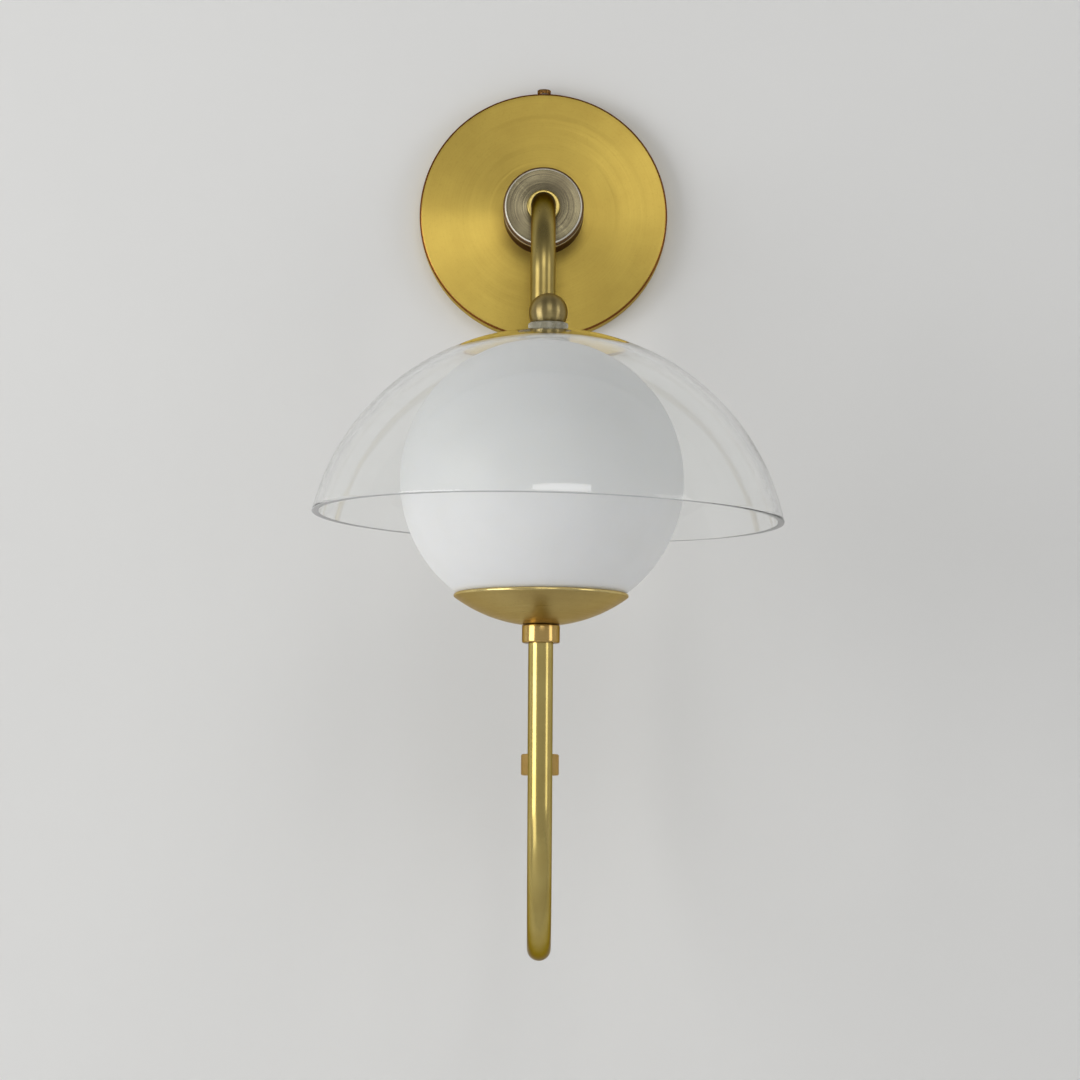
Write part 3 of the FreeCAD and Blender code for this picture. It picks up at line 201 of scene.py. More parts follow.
def skin(name: str, rings: Sequence[Sequence[Vector]]) -> Object:
    """Make a closed piece from rings of points, the last ring joined to the first.

    Args:
        name: the piece's name.
        rings: the points of each ring; a ring of one point is a pole.

    Returns:
        The piece, with outward faces and smooth shading.
    """
    points: list[Vector] = []
    rows: list[range] = []
    for ring in rings:
        rows.append(range(len(points), len(points) + len(ring)))
        points += [point * MM for point in ring]
    faces = []
    for lower, upper in zip(rows, rows[1:] + rows[:1]):
        segments = max(len(lower), len(upper))
        for step in range(segments if segments > 1 else 0):
            after = (step + 1) % segments
            near = lower[step % len(lower)], lower[after % len(lower)]
            far = upper[after % len(upper)], upper[step % len(upper)]
            faces.append(tuple(dict.fromkeys(near + far)))
    mesh = bpy.data.meshes.new(name)
    mesh.from_pydata(points, [], faces)
    work = bmesh.new()
    work.from_mesh(mesh)
    bmesh.ops.recalc_face_normals(work, faces=work.faces)
    work.to_mesh(mesh)
    work.free()
    smooth(mesh)
    return put(name, mesh)


def spokes(first: Vector, second: Vector, steps: int) -> list[tuple[float, Vector]]:
    """Directions round a full turn from the first to the second, each with its angle."""
    angles = [FULL_TURN * step / steps for step in range(steps)]
    return [(angle, first * math.cos(angle) + second * math.sin(angle)) for angle in angles]


def turned_mesh(
    name: str,
    outline: Outline,
    place: Place = (0.0, 0.0, 0.0),
    axis: Axis = Axis.UP,
    segments: int = 160,
    reshape: Callable[[float, float, float], float] | None = None,
    lean: Callable[[float, float], float] | None = None,
) -> Object:
    """Turn a closed outline about an axis.

    Args:
        name: the piece's name.
        outline: radius and height of each corner; a corner on the axis is a pole.
        place: where height zero stands.
        axis: the direction of the heights.
        segments: how many parts the turn is divided into.
        reshape: a point's new radius, from its radius, height and angle.
        lean: how many degrees a ring leans about the place, from its radius and height.

    Returns:
        The turned piece.
    """
    origin, around = Vector(place), spokes(*axis.across, segments)
    rings = []
    for radius, height in outline:
        pole = radius < POLE
        turn = Matrix.Rotation(math.radians(lean(radius, height)) if lean else 0.0, 3, "Y")
        ring = []
        for angle, spoke in around[:1] if pole else around:
            reach = reshape(radius, height, angle) if reshape else radius
            offset = spoke * (0.0 if pole else reach) + axis.vector * height
            ring.append(origin + turn @ offset)
        rings.append(ring)
    return skin(name, rings)


def straight(start: Pair, end: Pair, steps: int = 1) -> list[Station]:
    """Stations along a straight run: points with the run's direction, as y and z.

    Args:
        start: y and z of the first station.
        end: y and z of the last station.
        steps: how many parts the run is divided into.

    Returns:
        The stations, both ends included.
    """
    first, last = Vector(start), Vector(end)
    along = (last - first).normalized()
    return [(first.lerp(last, step / steps), along) for step in range(steps + 1)]


def bend(centre: Pair, radius: float, start: float, end: float, steps: int) -> list[Station]:
    """Stations round a bend, without its first point.

    Args:
        centre: y and z of the bend's centre.
        radius: radius of the tube's centre line.
        start: angle of the first point in degrees, from +Y towards +Z.
        end: angle of the last point in degrees.
        steps: how many parts the bend is divided into.

    Returns:
        The stations after the first one.
    """
    sense = radius if end > start else -radius
    stations = []
    for across, up in arc(centre, radius, start, end, steps)[1:]:
        along = Vector(((centre[1] - up) / sense, (across - centre[0]) / sense))
        stations.append((Vector((across, up)), along))
    return stations


def tube_mesh(
    name: str, stations: Sequence[Station], outer: float, inner: float, segments: int = 72
) -> Object:
    """Sweep a hollow round tube along stations in the plane x = 0.

    Args:
        name: the tube's name.
        stations: the centre line.
        outer: outer radius.
        inner: bore radius.
        segments: how many parts the tube's round is divided into.

    Returns:
        The tube, closed at both ends by its wall.
    """
    side = Vector((1.0, 0.0, 0.0))
    walls = [(station, outer) for station in stations]
    walls += [(station, inner) for station in reversed(stations)]
    rings = []
    for (point, along), radius in walls:
        middle = Vector((0.0, point.x, point.y))
        normal = Vector((0.0, -along.y, along.x))
        rings.append([middle + spoke * radius for _, spoke in spokes(side, normal, segments)])
    return skin(name, rings)


def bore(
    piece: Object, radius: float, low: float, high: float, place: Place, segments: int
) -> None:
    """Take an upright round hole out of a piece.

    Args:
        piece: the piece.
        radius: the hole's radius.
        low: height of the hole's lower end.
        high: height of its upper end.
        place: where height zero stands.
        segments: how many parts the hole's round is divided into.
    """
    outline = [(0.0, low), (radius, low), (radius, high), (0.0, high)]
    drill = turned_mesh("drill", outline, place, segments=segments)
    modifier = piece.modifiers.new("cut", "BOOLEAN")
    modifier.operation = "DIFFERENCE"
    modifier.solver = "EXACT"
    modifier.object = drill
    bpy.context.view_layer.update()
    shown = piece.evaluated_get(bpy.context.evaluated_depsgraph_get())
    mesh = bpy.data.meshes.new_from_object(shown)
    piece.modifiers.clear()
    piece.data = mesh
    smooth(mesh)
    bpy.data.objects.remove(drill)


# Finishes

# Size, detail and roughness of each noise over a piece

TARNISH = (28.0, 4.0, 0.6)
SPECKS = (1.6, 3.0, 0.65)
POLISH = (22.0, 2.0, 0.5)
DUST = (9.0, 4.0, 0.6)
BLOTCHES = (7.0, 3.0, 0.6)
CLOUDS = (34.0, 3.0, 0.5)

# Detail and roughness of the noises whose size is set elsewhere

RING_NOISE = (3.0, 0.7)
WAVE_NOISE = (1.0, 0.4)

# Levels at which specks, dust and wear begin and are full

SPECK_LEVELS = (0.55, 0.8)
DUST_LEVELS = (0.5, 0.75)
WORN_LEVELS = (0.52, 0.6)

TARNISH_SHARE = 0.6
WORN_SHARE = 0.5
# Painted shade round a place: its strongest share, and (below) the millimetres over which it fades
PAINTED_SHADE_SHARE = 0.9
PAINTED_SHADE_REACH = (8.0, 30.0)
SPECK_SHADE = 0.72
WORN_SHADE = 1.18
# Tone factor of the painted shade round a place
PAINTED_SHADE_TONE = 0.26
RING_DULLING = 0.05
SPECK_DULLING = (-0.1, 0.12)
QUARTER_TURN = 0.25


def metres(lengths: Sequence[float]) -> tuple[float, ...]:
    """Lengths turned into metres."""
    return tuple(length * MM for length in lengths)


def shade(screen: Screen, factor: float) -> Colour:
    """A lighter or darker tone of a screen colour, held at white."""
    return tuple(min(1.0, factor * value) for value in linear(screen))


class Shading:
    """The nodes of a material or a world, added and joined by short calls."""

    def __init__(self, owner: Material | bpy.types.World, kind: str = "Material") -> None:
        """Start with an empty tree.

        Args:
            owner: the material or world that holds the nodes.
            kind: the type of its output node.
        """
        self.owner = owner
        owner.use_nodes = True
        self.tree = owner.node_tree
        self.tree.nodes.clear()
        self.output = self.tree.nodes.new("ShaderNodeOutput" + kind)

    def finish(self, shader: Node) -> Material | bpy.types.World:
        """Join the last shader to the output and give back the material or world."""
        self.tree.links.new(shader.outputs[0], self.output.inputs["Surface"])
        return self.owner

    def add(self, kind: str, inputs: dict | None = None, **settings) -> Node:
        """Add one node.

        Args:
            kind: the node's type, without its ShaderNode prefix.
            inputs: value or linked socket for each input, by name or number; None leaves it.
            **settings: the node's own settings.

        Returns:
            The new node.
        """
        node = self.tree.nodes.new("ShaderNode" + kind)
        for key, value in settings.items():
            setattr(node, key, value)
        for key, value in (inputs or {}).items():
            if value is not None:
                self.feed(node.inputs[key], value)
        return node

    def feed(self, socket: Socket, value: object) -> None:
        """Set a socket's own value, or link another socket to it.

        Args:
            socket: the input.
            value: a number, a colour or an output socket.
        """
        if isinstance(value, Socket):
            self.tree.links.new(value, socket)
        elif isinstance(value, tuple) and socket.type == "RGBA":
            socket.default_value = (*value, 1.0)
        else:
            socket.default_value = value

    def math_step(self, operation: str, first: object, second: object = 0.0) -> Socket:
        """The result of a math node, from two numbers or sockets."""
        return self.add("Math", {0: first, 1: second}, operation=operation).outputs[0]

    def vector_step(
        self, operation: str, first: object, second: object = None, wanted: str | int = 0
    ) -> Socket:
        """A result of a vector math node, from two vectors or a vector and its scale."""
        inputs = {0: first, "Scale" if operation == "SCALE" else 1: second}
        return self.add("VectorMath", inputs, operation=operation).outputs[wanted]

    def position(self) -> Socket:
        """The point on the object, in metres in the object's own frame."""
        return self.add("TexCoord").outputs["Object"]

    def noise(self, vector: Socket, scale: float, detail: float, rough: float) -> Socket:
        """A noise texture's level, about 0.3 to 0.7 for most points."""
        inputs = {"Vector": vector, "Scale": scale, "Detail": detail, "Roughness": rough}
        return self.add("TexNoise", inputs).outputs["Fac"]

    def patches(self, size: float, detail: float, rough: float) -> Socket:
        """A noise over the piece, with patches of one size."""
        return self.noise(self.position(), 1.0 / (size * MM), detail, rough)

    def spread(
        self, level: Socket, low: float, high: float, start: float = 0.3, end: float = 0.7
    ) -> Socket:
        """A level mapped so that start gives low and end gives high, held at both."""
        inputs = {"Value": level, "From Min": start, "From Max": end, "To Min": low, "To Max": high}
        return self.add("MapRange", inputs).outputs["Result"]

    def blend(self, level: Socket, first: object, second: object) -> Socket:
        """Two colours or sockets blended: level 0 gives the first and 1 the second."""
        inputs = {"Factor": level, 6: first, 7: second}
        return self.add("Mix", inputs, data_type="RGBA").outputs[2]

    def bump(
        self, height: Socket, depth: float, strength: float = 1.0, under: Socket | None = None
    ) -> Socket:
        """A normal from a height whose level of one is depth deep, on another bump's normal."""
        inputs = {"Height": height, "Strength": strength, "Distance": depth * MM, "Normal": under}
        return self.add("Bump", inputs).outputs["Normal"]

    def backed(self, level: Socket, shader: Node, tint: Colour) -> Node:
        """A shader that lets tinted light straight through where the level is 1."""
        clear = self.add("BsdfTransparent", {"Color": tint})
        return self.add("MixShader", {0: level, 1: shader.outputs[0], 2: clear.outputs[0]})


@dataclass(frozen=True)
class Turning:
    """The fine rings that turning or spinning leaves on a piece.

    Attributes:
        axis: the piece's own axis.
        place: a point on that axis.
        lines: rings for each millimetre.
        depth: depth of the rings.
        anisotropy: how far highlights stretch across the rings.
        contrast: share of the darker tone in the darkest rings.
        drift: how much a ring changes on its way round.
    """

    axis: Axis
    place: Place
    lines: float
    depth: float
    anisotropy: float
    contrast: float = 0.22
    drift: float = 0.5

    def coordinates(self, shading: Shading) -> Socket:
        """Coordinates that change fast across the rings and slowly along them.

        Args:
            shading: the material's nodes.

        Returns:
            The coordinates' socket.
        """
        step = shading.vector_step
        offset = step("SUBTRACT", shading.position(), metres(self.place))
        flat = step("MULTIPLY", offset, tuple(1.0 - abs(value) for value in self.axis.value))
        radius = step("LENGTH", flat, wanted="Value")
        height = step("DOT_PRODUCT", offset, self.axis.value, "Value")
        across = shading.math_step("SUBTRACT", radius, height)
        fast = shading.math_step("MULTIPLY", across, self.lines / MM)
        slow = step("SCALE", step("NORMALIZE", flat), self.drift)
        return step("ADD", slow, step("SCALE", self.axis.value, fast))


@dataclass(frozen=True)
class Metal:
    """A bare metal with tone, tarnish, brushing and worn edges, and where asked a painted shade
    round a place.

    Attributes:
        name: the finish's name.
        light: the cleaner tone.
        dark: the more tarnished tone.
        roughness: how dull the clean metal is.
        dulling: how much duller the tarnished places are.
        turning: its rings, or None for a piece without them.
        waviness: depth of the slow unevenness of a hand-polished face.
        grain: depth of the fine unevenness of a face without rings.
        specks: how much darker its small specks are.
        edge_tint: colour of its reflections where it is seen edge-on.
        painted_shade_place: a place round which the tone darkens as painted shade, or None.
    """

    name: str
    light: Screen
    dark: Screen
    roughness: float
    dulling: float
    turning: Turning | None = None
    waviness: float = 0.01
    grain: float = 0.003
    specks: float = 0.35
    edge_tint: Colour = (0.80, 0.69, 0.50)
    painted_shade_place: Place | None = None

    def build(self) -> Material:
        """Make the material.

        Returns:
            The material.
        """
        nodes = Shading(bpy.data.materials.new(self.name))
        tarnish = nodes.spread(nodes.patches(*TARNISH), 0.0, TARNISH_SHARE)
        fine = nodes.patches(*SPECKS)
        tone = nodes.blend(tarnish, linear(self.light), linear(self.dark))
        specks = nodes.spread(fine, 0.0, self.specks, *SPECK_LEVELS)
        tone = nodes.blend(specks, tone, shade(self.dark, SPECK_SHADE))
        edges = nodes.add("NewGeometry").outputs["Pointiness"]
        worn = nodes.spread(edges, 0.0, WORN_SHARE, *WORN_LEVELS)
        tone = nodes.blend(worn, tone, shade(self.light, WORN_SHADE))
        # Painted shade: the tone darkens towards a place, standing in for shade and dark
        # reflections near the hub.
        if self.painted_shade_place:
            place = nodes.position()
            away = nodes.vector_step("DISTANCE", place, metres(self.painted_shade_place), "Value")
            painted_shade_level = nodes.spread(away, PAINTED_SHADE_SHARE, 0.0, *metres(PAINTED_SHADE_REACH))
            tone = nodes.blend(painted_shade_level, tone, shade(self.dark, PAINTED_SHADE_TONE))
        dullness = nodes.spread(tarnish, self.roughness, self.roughness + self.dulling, 0.0, 1.0)
        normal = nodes.bump(nodes.patches(*POLISH), self.waviness)
        inputs: dict = {"Metallic": 1.0, "Specular Tint": self.edge_tint}
        if self.turning:
            rings = nodes.noise(self.turning.coordinates(nodes), 1.0, *RING_NOISE)
            normal = nodes.bump(rings, self.turning.depth, 1.0, normal)
            uneven = nodes.spread(rings, -RING_DULLING, RING_DULLING)
            dullness = nodes.math_step("ADD", dullness, uneven)
            contrast = nodes.spread(rings, 0.0, self.turning.contrast)
            tone = nodes.blend(contrast, tone, linear(self.dark))
            inputs["Anisotropic"] = self.turning.anisotropy
            inputs["Anisotropic Rotation"] = QUARTER_TURN
            letter = self.turning.axis.tangent_letter
            tangent = nodes.add("Tangent", direction_type="RADIAL", axis=letter)
            inputs["Tangent"] = tangent.outputs[0]
        else:
            normal = nodes.bump(fine, self.grain, 1.0, normal)
            uneven = nodes.spread(fine, *(share * self.specks for share in SPECK_DULLING))
            dullness = nodes.math_step("ADD", dullness, uneven)
        inputs |= {"Base Color": tone, "Roughness": dullness, "Normal": normal}
        return nodes.finish(nodes.add("BsdfPrincipled", inputs))


@dataclass(frozen=True)
class ClearGlass:
    """Blown clear glass with a slow waviness and a trace of dust.

    Attributes:
        name: the finish's name.
        tint: colour of the light that passes.
        shadow: colour of the light in its shadow.
        waviness: depth of the waves.
        wave: size of the waves.
        stretch: how fast the waves change along each axis.
        dulling: how dull the dust makes it.
        bending: how much it bends light.
    """

    name: str
    tint: Colour = (0.985, 0.99, 0.985)
    shadow: Colour = (0.93, 0.935, 0.93)
    waviness: float = 0.05
    wave: float = 26.0
    stretch: Place = (1.0, 1.0, 0.35)
    dulling: float = 0.03
    bending: float = 1.5

    def build(self) -> Material:
        """Make the material, which lets lamps shine through it without a dark shadow.

        Returns:
            The material.
        """
        nodes = Shading(bpy.data.materials.new(self.name))
        drawn = nodes.vector_step("MULTIPLY", nodes.position(), self.stretch)
        waves = nodes.noise(drawn, 1.0 / (self.wave * MM), *WAVE_NOISE)
        inputs = {
            "Base Color": self.tint,
            "Transmission Weight": 1.0,
            "IOR": self.bending,
            "Roughness": nodes.spread(nodes.patches(*DUST), 0.0, self.dulling, *DUST_LEVELS),
            "Normal": nodes.bump(waves, self.waviness),
        }
        rays = nodes.add("LightPath").outputs
        unseen = nodes.math_step("MAXIMUM", rays["Is Shadow Ray"], rays["Is Diffuse Ray"])
        glass = nodes.add("BsdfPrincipled", inputs)
        return nodes.finish(nodes.backed(unseen, glass, self.shadow))


class Grain(Enum):
    """The surface of a cast piece, as its depth and its noise."""

    MOULDED = (0.012, 0.9, 3.0, 0.6)
    GLAZED = (0.006, 2.6, 3.0, 0.6)
    RUBBER = (0.02, 0.5, 3.0, 0.6)
    CHIPS = (0.12, 1.1, 3.0, 0.6)
    GROUND = (0.02, 0.25, 3.0, 0.6)
    SKIN = (0.004, 2.2, 2.0, 0.5)


@dataclass(frozen=True)
class Cast:
    """Plastic, rubber, glazed clay or glass that light sinks into.

    Attributes:
        name: the finish's name.
        tone: its main colour.
        second: colour of its slight patches.
        roughness: how dull it is.
        grain: its small-scale surface.
        softness: share of the light that sinks in.
        clearness: share of the light that passes through.
        patches: noise of the patches.
        unevenness: how much less and more dull it is in places.
        glow: how far each colour of the light spreads, as a share.
        spread: how far the light spreads in it.
        bending: how much it bends light.
    """

    name: str
    tone: Screen
    second: Screen
    roughness: float
    grain: Grain = Grain.MOULDED
    softness: float = 0.0
    clearness: float = 0.0
    patches: tuple[float, ...] = BLOTCHES
    unevenness: Pair = (0.06, 0.08)
    glow: Colour = (1.0, 0.9, 0.8)
    spread: float = 2.0
    bending: float = 1.43

    def build(self) -> Material:
        """Make the material.

        Returns:
            The material.
        """
        nodes = Shading(bpy.data.materials.new(self.name))
        patches = nodes.spread(nodes.patches(*self.patches), 0.0, 1.0)
        depth, *noise = self.grain.value
        if self.grain is Grain.CHIPS:
            cells = {"Vector": nodes.position(), "Scale": 1.0 / (noise[0] * MM)}
            grain = nodes.add("TexVoronoi", cells).outputs["Distance"]
        else:
            grain = nodes.patches(*noise)
        less, more = self.unevenness
        inputs = {
            "Base Color": nodes.blend(patches, linear(self.tone), linear(self.second)),
            "Roughness": nodes.spread(grain, self.roughness - less, self.roughness + more),
            "Subsurface Weight": self.softness,
            "Subsurface Radius": self.glow,
            "Subsurface Scale": self.spread * MM,
            "Transmission Weight": self.clearness,
            "IOR": self.bending,
            "Normal": nodes.bump(grain, depth),
        }
        return nodes.finish(nodes.add("BsdfPrincipled", inputs))


LAMP_Y = -252.0
REAR_Y = -92.0
CROWN_X = 2.9
GLOBE_Z = -190.8
DOME_Z = -239.6
WALL_AXIS = (0.0, 0.0, 0.0)
COVER_RADIUS = 75.75
SCREW_DEPTH = 6.5
SOCKET_FLOOR = 22.0
THREAD_HOLE = 5.1

PLATE_RINGS = Turning(Axis.ROOM, WALL_AXIS, 2.4, 0.003, 0.93)
HUB_RINGS = Turning(Axis.ROOM, WALL_AXIS, 1.5, 0.008, 0.8, 0.75, 0.3)
HUB_SIDE_RINGS = Turning(Axis.ROOM, WALL_AXIS, 1.1, 0.01, 0.3, 0.5, 0.3)
CUP_RINGS = Turning(Axis.UP, (0.0, LAMP_Y, GLOBE_Z), 2.0, 0.008, 0.45)
COUPLING_RINGS = Turning(Axis.UP, (0.0, REAR_Y, -338.0), 2.6, 0.008, 0.4)
BALL_RINGS = Turning(Axis.UP, (CROWN_X, LAMP_Y, -100.0), 2.6, 0.003, 0.88, 0.15)

COPPER = (202, 170, 106), (177, 141, 79)
STEEL = (196, 198, 200), (160, 160, 156)
DRAWN = {"waviness": 0.004, "grain": 0.0003, "specks": 0.06}

FINISHES = (
    Metal("canopy_brass", (195, 169, 83), (178, 151, 72), 0.37, 0.03, PLATE_RINGS),
    # Darker brown copy of the cover's brass for its rounded edge: painted shade and dark
    # reflection.
    Metal("canopy_edge", (136, 86, 44), (104, 60, 30), 0.26, 0.05, edge_tint=(0.34, 0.23, 0.14)),
    Metal("cup_brass", (192, 170, 110), (172, 148, 92), 0.30, 0.06, CUP_RINGS),
    # Lighter, smoother copy of the cup's brass for the rolled lip: the lighter tone is a painted
    # highlight, the smoothness is the lip's own polish.
    Metal("lip_brass", (222, 202, 140), (196, 174, 112), 0.17, 0.05),
    Metal(
        "tube_brass", (198, 179, 112), (172, 150, 84), 0.20, 0.05,
        edge_tint=(0.40, 0.32, 0.19), **DRAWN,
    ),
    # Rear tube: a darker copy of the tube brass as painted shade, with more painted shade round the
    # hub joint.
    Metal(
        "elbow_brass", (172, 154, 95), (142, 122, 66), 0.27, 0.05,
        edge_tint=(0.5, 0.41, 0.25), painted_shade_place=(0.0, -67.0, 2.0), **DRAWN,
    ),
    Metal("collar_brass", *COPPER, 0.16, 0.05, edge_tint=(0.4, 0.3, 0.18)),
    Metal("ring_brass", *COPPER, 0.30, 0.06, COUPLING_RINGS),
    Metal(
        "ball_brass", (171, 156, 106), (110, 85, 56), 0.32, 0.04, BALL_RINGS,
        waviness=0.003, edge_tint=(0.40, 0.29, 0.19),
    ),
    Metal("screw_brass", (122, 88, 46), (64, 38, 20), 0.14, 0.06, edge_tint=(0.3, 0.2, 0.1)),
    Metal("bushing_brass", (198, 177, 106), (170, 147, 80), 0.3, 0.05),
    Metal("hub_nickel", (132, 124, 97), (60, 52, 42), 0.21, 0.04, HUB_RINGS),
    # Browner copy of the hub's metal for its side: painted shade and painted reflection of the
    # brass cover.
    Metal(
        "hub_side", (124, 98, 66), (84, 62, 42), 0.34, 0.06, HUB_SIDE_RINGS,
        edge_tint=(0.35, 0.3, 0.26),
    ),
    # Near-white copy of the hub's metal for the bevel and the band by the groove: painted
    # highlight.
    Metal(
        "hub_bright", (240, 235, 222), (216, 209, 192), 0.34, 0.04,
        edge_tint=(0.95, 0.93, 0.9),
    ),
    Metal("zinc_steel", *STEEL, 0.34, 0.12),
    Metal("spring_steel", *STEEL, 0.18, 0.06),
    Metal("earth_green", (96, 150, 92), (58, 112, 62), 0.36, 0.1),
    Cast(
        "opal_glass", (248, 248, 247), (244, 244, 242), 0.5, Grain.SKIN, 0.75, 0.0,
        CLOUDS, (0.03, 0.04), (1.0, 0.94, 0.86), 6.0, 1.5,
    ),
    ClearGlass("clear_glass"),
    Cast("ground_glass", (206, 206, 208), (197, 197, 199), 0.55, Grain.GROUND, 0.0, 0.25),
    Cast("neck_glass", (200, 195, 172), (186, 181, 158), 0.2, Grain.MOULDED, 0.0, 0.58),
    Cast("silicone", (226, 226, 222), (212, 212, 206), 0.42, Grain.RUBBER, 0.4, 0.35),
    Cast("ceramic", (238, 235, 226), (226, 221, 208), 0.16, Grain.GLAZED, 0.1),
    Cast("lamp_core", (240, 214, 120), (232, 196, 92), 0.5, Grain.CHIPS),
    Cast("block_plastic", (232, 229, 218), (220, 216, 202), 0.4, Grain.MOULDED, 0.3),
    Cast("insulation_brown", (112, 66, 38), (92, 52, 30), 0.42, Grain.RUBBER),
    Cast("insulation_blue", (44, 92, 158), (34, 74, 134), 0.42, Grain.RUBBER),
    Cast("insulation_green", (62, 142, 70), (48, 118, 56), 0.42, Grain.RUBBER),
)

FITTING_FINISHES = {
    "zinc_steel": (
        "cup_nipple", "cup_lock_washer", "cup_nut", "lampholder_bracket", "lampholder_screws",
        "crossbar", "hub_nipple", "hub_earth_washer", "hub_nut", "coupling_nipple",
        "terminal_screws",
    ),
    "spring_steel": ("globe_spring", "bulb_pins"),
    "ceramic": ("lampholder", "bulb_base"),
    "clear_glass": ("bulb_glass",),
    "lamp_core": ("bulb_core",),
    "earth_green": ("ground_screw",),
    "block_plastic": ("terminal_block",),
    "insulation_brown": ("lead_live",),
    "insulation_blue": ("lead_neutral",),
    "insulation_green": ("earth_lead",),
}


# Sub-assemblies


@dataclass
class Assembly:
    """A group of pieces and the finishes that they are dressed in.

    Attributes:
        materials: every finish's material, by the finish's name.
    """

    materials: dict[str, Material]

    def fit(self, made: Object, finish: str, slot: str, node: str, body: str = "fixture") -> None:
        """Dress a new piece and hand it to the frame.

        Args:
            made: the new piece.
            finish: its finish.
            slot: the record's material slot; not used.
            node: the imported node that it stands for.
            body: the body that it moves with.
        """
        made.data.materials.clear()
        made.data.materials.append(self.materials[finish])
        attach(made, body)
        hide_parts(node)
        LOG.info("made %s for %s", made.name, node)

    def tell_apart(self, made: Object, finish: str, chosen: Callable[[Vector], bool]) -> None:
        """Give some of a piece's faces another finish.

        Args:
            made: the piece.
            finish: the other finish.
            chosen: whether a face gets it, from its centre in metres.
        """
        made.data.materials.append(self.materials[finish])
        for face in made.data.polygons:
            if chosen(face.center):
                face.material_index = len(made.data.materials) - 1

    def dress(self, finish: str, *names: str) -> None:
        """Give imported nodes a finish.

        Args:
            finish: the finish.
            *names: the nodes.
        """
        for name in names:
            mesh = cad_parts[name].data
            mesh.materials.clear()
            mesh.materials.append(self.materials[finish])
            LOG.info("dressed %s", name)


@dataclass
class Canopy(Assembly):
    """The spun wall cover."""

    depth: float = 13.0
    sheet: float = 1.2
    rounding: float = 1.8
    edge_share: float = 0.66
    edge_depth: float = 0.8
    screw_hole: float = 2.25

    def outline(self) -> Outline:
        """The wall cover's section.

        Returns:
            Its corners.
        """
        inner = COVER_RADIUS - self.sheet
        corners = [
            (inner, 0.0, 0.2),
            (COVER_RADIUS, 0.0, 0.2),
            (COVER_RADIUS, self.depth, self.rounding),
            (THREAD_HOLE, self.depth),
            (THREAD_HOLE, self.depth - self.sheet),
            (inner, self.depth - self.sheet, 0.7),
        ]
        return eased(corners, 8)

    def is_painted_shade_edge(self, spot: Vector) -> bool:
        """Tell the faces of the rounded corner, which get the painted shade.

        Args:
            spot: a face's centre in metres.

        Returns:
            Whether the face is one of them.
        """
        corner = (self.rounding * self.edge_depth - self.depth) * MM
        limit = (COVER_RADIUS - self.rounding * self.edge_share) * MM
        return spot.y < corner and off_axis(spot) > limit

    def build(self) -> None:
        """Make the cover and bore its two screw holes."""
        plate = turned_mesh("canopy_plate", self.outline(), axis=Axis.ROOM, segments=256)
        reach = COVER_RADIUS + self.sheet
        bore(plate, self.screw_hole, -reach, reach, (0.0, -SCREW_DEPTH, 0.0), 40)
        self.fit(plate, "canopy_brass", "canopy_brass", "canopy")
        # The rounded edge gets the darker brown tone: painted shade.
        self.tell_apart(plate, "canopy_edge", self.is_painted_shade_edge)


@dataclass
class KnurledScrews(Assembly):
    """The two knurled screws in the wall cover's side."""

    shank: float = 2.0
    tip: float = 70.55
    head: float = 4.1
    head_height: float = 2.8
    foot: float = 0.6
    knurls: int = 26
    knurl_steps: int = 6
    knurl_depth: float = 0.22
    knurl_low: float = 1.6
    knurl_high: float = 3.1
    chamfer: float = 0.4
    lines: tuple[Pair, ...] = (
        (0.7, 0.0), (0.8, 0.18), (0.95, 0.18), (1.05, 0.0), (1.5, 0.0), (2.0, 0.0)
    )

    def outline(self) -> Outline:
        """One screw's section, with turned lines in its head.

        Returns:
            Its corners.
        """
        low = COVER_RADIUS + self.foot
        top = low + self.head_height
        edge = self.head - self.chamfer
        corners = [
            (0.0, self.tip),
            (self.shank, self.tip, 0.3),
            (self.shank, low),
            (self.head, low, 0.25),
            *((self.head - depth, low + rise) for rise, depth in self.lines),
            (self.head, top - self.chamfer),
            (edge, top),
            (0.0, top),
        ]
        return eased(corners, 4)

    def knurl(self, radius: float, height: float, angle: float) -> float:
        """Radius with the knurling's teeth cut in.

        Args:
            radius: the plain radius.
            height: distance from the hub's axis.
            angle: angle round the screw.

        Returns:
            The radius.
        """
        low, high = COVER_RADIUS + self.knurl_low, COVER_RADIUS + self.knurl_high
        if low < height < high and radius > self.head - self.knurl_depth / 2:
            return radius - self.knurl_depth * abs(math.sin(angle * self.knurls / 2))
        return radius

    def build(self) -> None:
        """Make both screws and dress their washers."""
        for end, axis in (("top", Axis.UP), ("bottom", Axis.DOWN)):
            place = (0.0, -SCREW_DEPTH, 0.0)
            name, steps = f"knurled_screw_{end}", self.knurls * self.knurl_steps
            screw = turned_mesh(name, self.outline(), place, axis, steps, self.knurl)
            node, body = f"thumbscrew_{end}", f"{end}_screw"
            self.fit(screw, "screw_brass", "polished_brass", node, body)
            self.dress("silicone", f"thumbscrew_washer_{end}")


